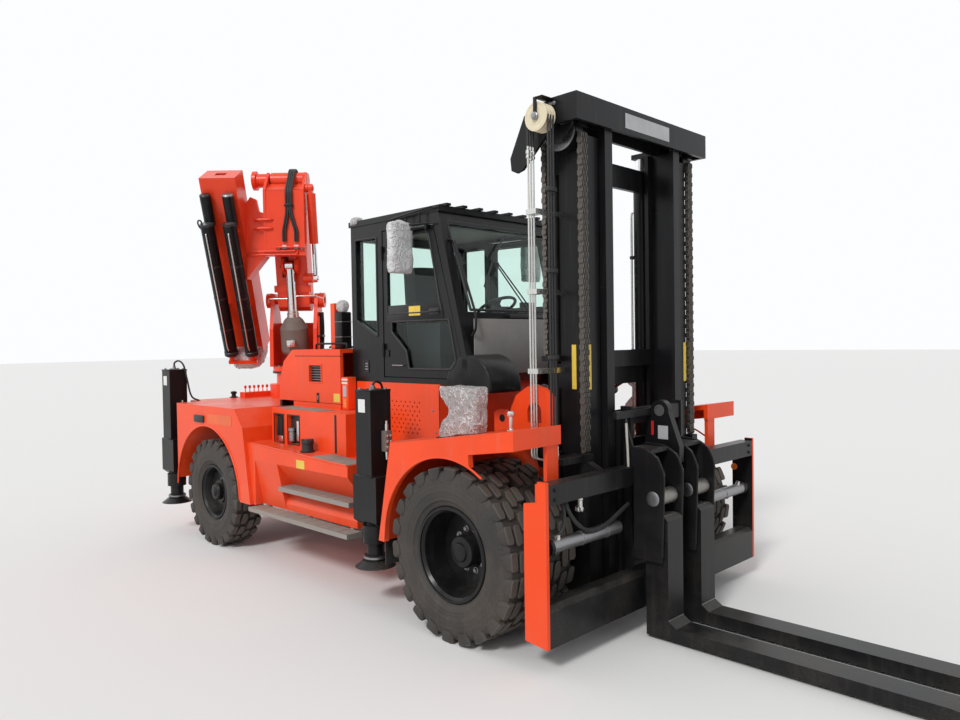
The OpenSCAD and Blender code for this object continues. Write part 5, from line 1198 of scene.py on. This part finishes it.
def build_mast_trim():
    """Couplings, clamps, reflective strips, the pipes' bend at the foot and the hose fittings."""
    for i, y in enumerate((-0.909, -0.937, -0.965)):
        turned("pipe_coupling_%d" % i, (9.5, 0, 14, 2, 14, 18, 11, 20, 11, 30, 15, 32, 15, 56, 11.5, 60),
               (0.3615, y, 3.395 - 0.012 * (i % 2)), Z, pipe_metal, "mast", sides=6)
        # Pipes turn forward at their feet and end in the bracket; hose ends over the block beside the post
        low = 1.262 + 0.010 * i
        pipes("pipe_foot_%d" % i, [[(0.3615, y, 1.345), (0.3615, y, low),
                                    (0.520 - 0.030 * i, y + 0.02, low - 0.010)]], 0.009, pipe_metal, "mast")
        turned("hose_end_%d" % i, (11.5, 0, 13.5, 1, 13.5, 50, 16, 52, 16, 72, 13.5, 75),
               (0.5445, y, 1.376), (0, 0, -1), pipe_metal, "inner_mast", sides=12)
        turned("hose_neck_%d" % i, (11.5, 0, 13, 1, 13, 30, 11.5, 32), (0.5445, y, 1.392), (0, 0, -1),
               hose_rubber, "inner_mast", sides=12)
    outline = [(0.330, 1.385), (0.420, 1.372), (0.452, 1.300), (0.452, 1.235), (0.405, 1.205),
               (0.366, 1.212), (0.335, 1.300)]
    flat_plate("pipe_bracket", outline, "y", (-0.898, -0.890), black_paint, "mast")
    tubes("pipe_stubs", [[(0.372 + 0.012 * k, -0.886, 1.355 - 0.024 * k),
                          (0.46 + 0.004 * k, -0.880, 1.350 - 0.024 * k)] for k in range(5)], 0.0075,
          pipe_metal, "mast")
    pipes("bracket_arm", [[(0.36, -0.893, 1.29), (0.402, -0.80, 1.29), (0.402, -0.66, 1.29)]], 0.012,
          black_paint, "mast")
    for tag, x0, x1, y0, y1 in (("a", 0.641, 0.643, -0.672, -0.632), ("b", 0.500, 0.540, -0.6745, -0.6725),
                                ("c", 0.641, 0.643, 0.632, 0.672), ("d", 0.500, 0.540, 0.6725, 0.6745)):
        sign("mast_strip_" + tag, (x0, y0, 1.76), (x1, y1, 2.08), label_yellow, "mast")
    for i, z in enumerate((1.98, 2.58, 3.14)):
        block("hose_guide_%d" % i, (0.532, -0.985, z), (0.563, -0.890, z + 0.030), trim_black, "inner_mast",
              bevel=0.004)
    # Roller's end cap, rings and strap
    turned("roller_cap", (28, 0, 28, 6, 20, 10, 20, 20, 12, 22), (0.453, -0.9925, 3.665), (0, -1, 0),
           dull_steel, "inner_mast", sides=24)
    hoses("roller_rings", [ring_of((0.453, -0.9825, 3.665), r, [k * math.pi / 20 for k in range(41)])
                           for r in (0.055, 0.088)], 0.0025, cream, "inner_mast")
    flat_plate("roller_strap", [(0.437, 3.655), (0.437, 3.798), (0.469, 3.798), (0.469, 3.655)], "y",
               (-0.9935, -0.9875), black_paint, "inner_mast")
    block("roller_strap_top", (0.437, -0.992, 3.790), (0.520, -0.872, 3.798), black_paint, "inner_mast")
    sign("beam_plate", (0.7255, -0.30, 3.655), (0.7275, 0.30, 3.765), label_grey, "inner_mast")
    for tag, s in SIDES:
        out = (0, s, 0)
        for end in (-1, 1):
            turned("sheave_face_%s%d" % (tag, end), (138, 0, 140, 2, 128, 3, 124, -4, 52, -4, 48, 5, 30, 6),
                   (0.485, s * 0.720 + end * 0.043, 3.598), (0, end, 0), dull_steel, "inner_mast", sides=40)
        bolts("mast_top_bolts_" + tag, [(x, s * 0.878, z) for x in (0.50, 0.53) for z in (3.66, 3.76)], out,
              0.011, dull_steel, "inner_mast")
        turned("mast_nipple_" + tag, (8, 0, 8, 6, 4, 8, 6, 14, 3, 18), (0.255, s * 0.694, 0.640), out,
               pipe_metal, "mast", sides=8)
        turned("lift_gland_" + tag, (69, 0, 74, 4, 74, 45, 69, 50, 55, 52), (0.285, s * 0.580, 3.430), Z,
               black_paint, "mast", sides=28)
        pipes("lift_pipe_" + tag, [[(0.215, s * 0.56, 0.86), (0.195, s * 0.56, 0.86),
                                    (0.195, s * 0.56, 3.20), (0.220, s * 0.57, 3.20)]], 0.010, pipe_metal,
              "mast")
        for i, z in enumerate((1.14, 2.0, 2.8)):
            block("lift_clip_%s%d" % (tag, i), (0.185, s * 0.56 - 0.018, z),
                  (0.222, s * 0.56 + 0.018, z + 0.028), trim_black, "mast")


def build_tilt_trim():
    """Glands, ports and lines of the tilt cylinders."""
    for tag, s in SIDES:
        where = TRUCK @ Matrix.Translation((0, s * 0.440, 0)) @ leaning((-0.330, 0, 1.490), TILT_ANGLE)
        for name, profile, place, axis, material, sides in (
                ("gland_", (63, 0, 68, 4, 68, 34, 62, 38, 45, 40), (0.418, 0, 0), X, black_paint, 28),
                ("port_", (20, 0, 20, 22, 15, 24, 15, 34), (0.12, 0, 0.060), Z, dull_steel, 6),
                ("port_b_", (18, 0, 18, 20, 13, 22, 13, 30), (0.37, 0, 0.060), Z, dull_steel, 6)):
            turned("tilt_" + name + tag, profile, place, axis, material, "tilt_barrels", where, sides)
        pipes("tilt_line_" + tag, [[(0.37, 0, 0.088), (0.37, 0, 0.108), (0.15, 0, 0.108),
                                    (0.12, 0, 0.088)]], 0.008, pipe_metal, "tilt_barrels", where, bend=0.02)


def build_carriage_trim():
    """Hose loops, fittings, labels, reflectors and worn edges on the carriage and forks."""
    x = 0.842
    loops = [[(x - 0.06, -1.150 + d, 1.080), (x - 0.02, -1.145 + d, 1.005 - d),
              (x - 0.010, -1.06 + d, 0.90 - 0.4 * d), (x - 0.005, -0.92, 0.838 - 0.5 * d),
              (x - 0.005, -0.75, 0.850 - 0.5 * d), (x - 0.010, -0.58, 0.905 - 0.4 * d),
              (x - 0.010, -0.47, 0.945 - 0.3 * d)] for d in (0, 0.022)]
    hoses("carriage_hoses", loops, 0.0125, body="carriage")
    hoses("cylinder_hose", [[(x - 0.06, -1.175, 1.080), (x - 0.02, -1.185, 1.00), (x - 0.02, -1.195, 0.90),
                             (x - 0.035, -1.225, 0.855)]], 0.0125, body="carriage")
    hoses("lug_hose", [[(0.800, -0.45, 1.560), (0.815, -0.44, 1.46), (0.835, -0.42, 1.36),
                        (0.845, -0.41, 1.26), (0.845, -0.40, 1.20)]], 0.010, body="carriage")
    hoses("lug_hose_pale", [[(0.842, -0.50, 1.52), (0.846, -0.50, 1.42), (0.842, -0.485, 1.32),
                             (0.842, -0.48, 1.21)]], 0.009, pale_hose, "carriage")
    for tag, s in SIDES:
        out = (0, s, 0)
        for name, profile, place, axis, material, sides in (
                ("positioner_port_" + tag, (20, 0, 20, 18, 15, 20, 15, 34),
                 (0.806, s * 1.235, 0.832), (0.3, 0, 1), pipe_metal, 6),
                ("positioner_gland_" + tag, (47, 0, 52, 3, 52, 30, 46, 34, 28, 36),
                 (0.798, s * 1.300, 0.790), out, black_paint, 28),
                ("positioner_nut_" + tag, (30, 0, 32, 2, 32, 26, 26, 30),
                 (0.798, s * 1.366, 0.790), out, pipe_metal, 6),
                ("positioner_band_%s0" % tag, (46.5, 0, 49, 1, 49, 16, 46.5, 17),
                 (0.798, s * 0.70, 0.790), out, dull_steel, 28),
                ("positioner_band_%s1" % tag, (46.5, 0, 49, 1, 49, 16, 46.5, 17),
                 (0.798, s * 0.98, 0.790), out, dull_steel, 28),
                ("side_reflector_%s_front" % tag, (30, 0, 30, 4, 26, 6, 18, 6.5),
                 (0.700, s * 1.3915, 0.960), (0, -s, 0), reflector, 28)):
            turned(name, profile, place, axis, material, "carriage", sides=sides)
        bolts("end_plate_bolts_" + tag, [(px, s * 1.391, z)
                                         for px, z in ((0.70, 0.50), (0.70, 0.40), (0.84, 1.13))],
              (0, -s, 0), 0.012, black_paint, "carriage")
    turned("port_elbow", (24, 0, 24, 24, 18, 28, 18, 46, 12, 48), (0.772, -0.985, 0.985), X, pipe_metal,
           "carriage", sides=6)
    turned("port_elbow_up", (17, 0, 17, 60, 21, 64, 21, 85, 12, 90), (0.800, -0.985, 0.985), Z, pipe_metal,
           "carriage", sides=16)
    # Plate, mark and bush on the eye's lug; fittings block beside the right post; bolt rows on the bars
    sign("lug_plate", (0.869, -0.1325, 1.375), (0.953, -0.1305, 1.475), label_grey, "carriage")
    sign("lug_mark", (0.812, -0.1325, 1.400), (0.832, -0.1305, 1.505), lens_red, "carriage")
    turned("eye_bush", (30.5, 0, 30.5, 64, 42, 64, 42, 60), (0.880, -0.068, 1.586), (0, -1, 0), dull_steel,
           "carriage", sides=28)
    block("fittings_block", (0.520, -0.984, 1.262), (0.658, -0.706, 1.2985), black_paint, "carriage",
          bevel=0.006, segments=3)
    bolts("bar_bolts", [(0.868, y, z) for y in (-1.33, 1.33) for z in (1.11, 1.17)], X, 0.011, black_paint,
          "carriage")
    # Forks: ends of the shaft in the ribs, rounded edges and the blade's worn heel
    for tag, y, body in (("r", -0.326, "fork_right"), ("l", 0.129, "fork_left")):
        for s in (-1, 1):
            turned("fork_pin_%s%d" % (tag, s), (52, 0, 52, 5, 46, 8, 20, 9), (1.030, y + s * 0.136, 1.000),
                   (0, s, 0), dull_steel, body)
            edge = ((1.093, 0.60), (1.113, 1.180), (1.063, 1.290), (0.973, 1.340), (0.81, 1.349))
            pipes("fork_edge_%s%d" % (tag, s), [[(px, y + s * 0.124, z) for px, z in edge]], 0.0075,
                  black_paint, body, bend=0.04)
        turned("fork_shaft_face_" + tag, (55.5, 0, 57, 2, 57, 196, 55.5, 198), (1.030, y - 0.099, 1.000),
               (0, 1, 0), worn_steel, body, sides=40)
        block("fork_wear_top_" + tag, (1.010, y - 0.096, 0.874), (1.090, y + 0.096, 0.8795), worn_steel,
              body, bevel=0.002)
        flat_plate("fork_heel_" + tag, [(y - 0.098, 0.1405), (y + 0.098, 0.1405), (y + 0.098, 0.160),
                                        (y - 0.098, 0.160)], "x", (1.1225, 1.1245), worn_steel, body,
                   bevel=0.0005)


# Crane

def build_head_trim():
    """Hoses over the knuckle and down the head, its ledge, pipes, ribs and pins."""
    bundle = []
    for k in range(4):
        w = 0.035 + 0.020 * k
        side = -0.005 + 0.024 * k if k < 2 else 0.130 + 0.024 * (k - 2)
        over = ((0.14, 4.09), (0.20, 4.155), (0.272, 4.176), (0.350, 4.150), (0.405, 4.075), (0.470, 3.985),
                (0.540, 3.890), (0.545, 3.76), (0.545, 3.64))
        bundle.append([(u, w, z) for u, z in over] + [(0.543, (w + side) / 2, 3.52), (0.542, side, 3.42),
                                                      (0.540, side, 3.300)])
    on_head = {"body": "outer_boom", "where": CRANE}
    hoses("head_hoses", bundle, 0.0125, **on_head)
    block("hose_clip_top", (0.521, 0.015, 3.70), (0.560, 0.115, 3.725), black_paint, **on_head)
    block("head_ledge", (0.518, -0.10, 3.225), (0.575, 0.235, 3.240), crane_paint, **on_head)
    bolts("ledge_fittings", [(0.546, w, 3.241) for w in (-0.005, 0.019, 0.130, 0.154)], Z, 0.016,
          pipe_metal, **on_head)
    bolts("ledge_nuts", [(0.546, w, 3.224) for w in (-0.055, -0.005, 0.019, 0.130, 0.154, 0.205)],
          (0, 0, -1), 0.012, dull_steel, **on_head)
    pipes("head_pipes", [[(0.540, w, 3.222), (0.540, w, z), (0.535, -0.40, z), (0.46, -0.46, z)]
                         for w, z in ((0.130, 3.190), (0.154, 3.150))], 0.009, crane_paint, **on_head)
    for i, z in enumerate((3.555, 3.455)):
        pipes("head_rib_%d" % i, [[(0.492, -0.345, z), (0.535, -0.320, z), (0.537, -0.15, z),
                                   (0.515, -0.13, z)]], 0.016, crane_paint, **on_head)
    turned("knuckle_ring", (100, -2, 100, 4, 80, 6, 78, 12, 62, 13, 58, 6, 20, 5), (0.270, -0.410, 4.055),
           (0, -1, 0), crane_paint, sides=36, **on_head)
    bolts("knuckle_keepers", ring_of((0.270, -0.411, 4.055), 0.088, (0.5, 2.6, 4.7)), (0, -1, 0), 0.010,
          dull_steel, **on_head)


def build_long_cylinder_trim():
    """Ports, rims, bands and lines on the two long cylinders of the outer boom."""
    back = (-1, 0, 0)
    for i, y in enumerate((-0.140, 0.110)):
        for name, profile, place, axis, material, sides in (
                ("long_rim_%d", (60, 0, 78, 1, 80, 6, 80, 20, 76.5, 24), (0.466, y, 0.330), X,
                 steel_dark, 36),
                ("long_eye_%d", (50, 0, 50, 4, 30, 8, 15, 9), (0.470, y, 0.330), back, dull_steel, 28),
                ("short_cap_%d", (61, 0, 61, 10, 52, 22, 30, 26, 10, 27), (0.182, y, 0.231), back,
                 dull_steel if i else steel_dark, 32),
                ("long_gland_%d", (77, 0, 82, 4, 82, 50, 76, 56, 45, 58), (2.065, y, 0.330), X,
                 steel_dark, 32),
                ("long_band_%d0", (76.5, 0, 79, 1, 79, 22, 76.5, 23), (0.95, y, 0.330), X, steel_dark, 32),
                ("long_band_%d1", (76.5, 0, 79, 1, 79, 22, 76.5, 23), (1.35, y, 0.330), X, steel_dark, 32),
                ("long_band_%d2", (76.5, 0, 79, 1, 79, 22, 76.5, 23), (1.75, y, 0.330), X, steel_dark, 32)):
            turned(name % i, profile, place, axis, material, "outer_boom", OUTER, sides)
        pipes("long_line_%d" % i, [[(0.56, y, 0.402), (0.56, y, 0.424), (1.98, y, 0.424),
                                    (2.03, y, 0.402)]], 0.008, pipe_metal, "outer_boom", OUTER, 0.02)
    hoses("cylinder_loop", [[(0.53, -0.205, 0.345), (0.49, -0.225, 0.350), (0.450, -0.232, 0.350),
                             (0.425, -0.222, 0.345), (0.432, -0.200, 0.340), (0.470, -0.192, 0.338)]],
          0.009, steel_dark, "outer_boom", OUTER)


def build_crane_trim():
    """The film round the tip, and glands, lines, clips and bolts of the column and the inner boom."""
    rings = [(0.0, *ring) for ring in ((0.10, 0.205, 0.215, 0.0), (0.10, 0.215, 0.265, 0.05),
                                       (0.10, 0.205, 0.262, 0.14), (0.09, 0.190, 0.245, 0.22),
                                       (0.07, 0.140, 0.170, 0.262), (0.06, 0.060, 0.070, 0.285))]
    along = Matrix(((0, 0, 1, 2.10), (1, 0, 0, 0), (0, 1, 0, 0), (0, 0, 0, 1)))
    wrapped("tip_film", rings, film, "boom_extension", OUTER @ along, sides=80, folds=0.022, seed=41,
            square=0.55)
    on_barrel = {"body": "boom_lift_barrel", "where": LIFT}
    turned("bottle_neck", (67, 0, 70, 3, 70, 50, 64, 56, 64, 90, 58, 92), (0.520, 0, 0), X, pipe_metal,
           sides=36, **on_barrel)
    block("bottle_block", (0.20, -0.05, -0.215), (0.28, 0.05, -0.160), pipe_metal, bevel=0.006, **on_barrel)
    bolts("bottle_ports", [(0.22, -0.02, -0.215), (0.26, 0.02, -0.215)], (0, 0, -1), 0.016, pipe_metal,
          **on_barrel)
    # Thin steel line across the column's plates, lines down its side, bolts round the slewing ring
    on_column = {"body": "crane_column", "where": CRANE}
    pipes("column_line", [[(0.13, -0.30, 2.63), (0.232, -0.28, 2.66), (0.235, -0.02, 2.66),
                           (0.235, 0.06, 2.69), (0.235, 0.28, 2.69), (0.13, 0.36, 2.66)]], 0.007,
          pipe_metal, **on_column)
    hoses("column_hoses", [[(0.05, 0.292 + w, 2.50), (0.06, 0.300 + w, 2.30), (0.10, 0.300 + w, 2.05),
                            (0.12, 0.290 + w, 1.90), (0.16, 0.26, 1.86)] for w in (0, 0.02, 0.04)], 0.011,
          **on_column)
    pipes("column_pipe_red", [[(0.16, 0.300, z) for z in (2.45, 2.10, 1.92)]], 0.014, crane_paint,
          bend=0.02, **on_column)
    block("column_clip", (0.03, 0.284, 2.20), (0.19, 0.352, 2.225), black_paint, **on_column)
    ring = [(0.270 * math.cos(a), 0.270 * math.sin(a), 1.8500) for a in even_angles(18)]
    bolts("slew_bolts", [p for p in ring if abs(p[1]) < 0.24], Z, 0.013, dull_steel, **on_column)
    turned("slew_seal", (291, 0, 296, 4, 296, 20, 291, 24), (0, 0, 1.770), Z, trim_black, sides=64,
           **on_column)
    for i, s in enumerate((-1, 1)):
        turned("foot_pin_cap_%d" % i, (56, 0, 56, 6, 48, 10, 20, 11), (0, s * 0.310, 2.650), (0, s, 0),
               dull_steel, "inner_boom", CRANE, 28)
        turned("column_boss_%d" % i, (91, 0, 94, 3, 94, 12, 90, 15), (0, s * 0.292, 2.650), (0, s, 0),
               crane_paint, sides=36, **on_column)
    tubes("boom_face_hoses", [[(0.30 + 0.1 * j, -0.10 + 0.03 * k, -0.146) for j in range(9)]
                              for k in range(3)], 0.011, hose_rubber, "inner_boom", INNER)
    for i, u in enumerate((0.42, 0.72, 1.02)):
        block("boom_face_clip_%d" % i, (u, -0.13, -0.160), (u + 0.03, -0.01, -0.130), black_paint,
              "inner_boom", INNER)
    # Lever bank on the deck: coloured knobs over the valve bank
    for i in range(8):
        turned("bank_knob_%d" % i, (6, 0, 14.5, 4, 16.5, 16, 14.5, 30, 6, 36),
               (-4.640, -0.510 + 0.058 * i, 1.590), Z, lens_red if i % 2 else crane_paint, sides=20)
    block("valve_bank", (-4.695, -0.545, 1.4905), (-4.585, -0.072, 1.500), dull_steel)


def build_axle_trim():
    """Cover of the drive axle with its bolts."""
    back = (-1, 0, 0)
    turned("axle_cover", (215, 0, 218, 4, 215, 20, 150, 40, 60, 50), (-0.195, 0, FRONT_RADIUS), back,
           black_paint, sides=40)
    bolts("axle_cover_bolts", [(-0.212, 0.190 * math.cos(a), FRONT_RADIUS + 0.190 * math.sin(a))
                               for a in even_angles(12)], back, 0.012, dull_steel)


for build in (build_tyres, build_wheel_trim, build_chains, build_hood_trim, build_locker_trim,
              build_deck_trim, build_jack_trim, build_cab_trim, build_front_covers, build_cab_inside,
              build_lamp_wraps, build_mast_trim, build_tilt_trim, build_carriage_trim, build_head_trim,
              build_long_cylinder_trim, build_crane_trim, build_axle_trim):
    build()


# Floor, light and background

def build_stage():
    """A pale floor, soft light from the sky and one soft sun; the background is white."""
    bpy.ops.mesh.primitive_plane_add(size=240.0, location=(0, 0, 0))
    floor = bpy.context.object
    floor.name = "floor"
    made, tree, shader = finish_of("pale floor")
    fill(tree, shader, {"Base Color": (0.80, 0.79, 0.78, 1.0), "Roughness": 0.9})
    floor.data.materials.append(made)
    world = bpy.data.worlds.new("sky")
    bpy.context.scene.world = world
    world.use_nodes = True
    tree = world.node_tree
    rays = node(tree, "ShaderNodeLightPath").outputs
    seen = maths(tree, "MAXIMUM", maths(tree, "MAXIMUM", rays["Is Camera Ray"], rays["Is Glossy Ray"]),
                 rays["Is Transmission Ray"])
    fill(tree, tree.nodes["Background"], {"Color": (0.97, 0.985, 1.0, 1.0),
                                          "Strength": times_plus(tree, seen, 0.38, 0.62)})
    for name, strength, spread, turn in (("sun", 1.7, 12.0, (50, 0, 18)),
                                         ("fill", 0.35, 60.0, (60, 0, -70))):
        lamp = bpy.data.lights.new(name, "SUN")
        lamp.energy = strength
        lamp.angle = math.radians(spread)
        holder = bpy.data.objects.new(name, lamp)
        holder.rotation_euler = [math.radians(a) for a in turn]
        bpy.context.scene.collection.objects.link(holder)
    bpy.context.scene.view_settings.view_transform = "Standard"


build_stage()
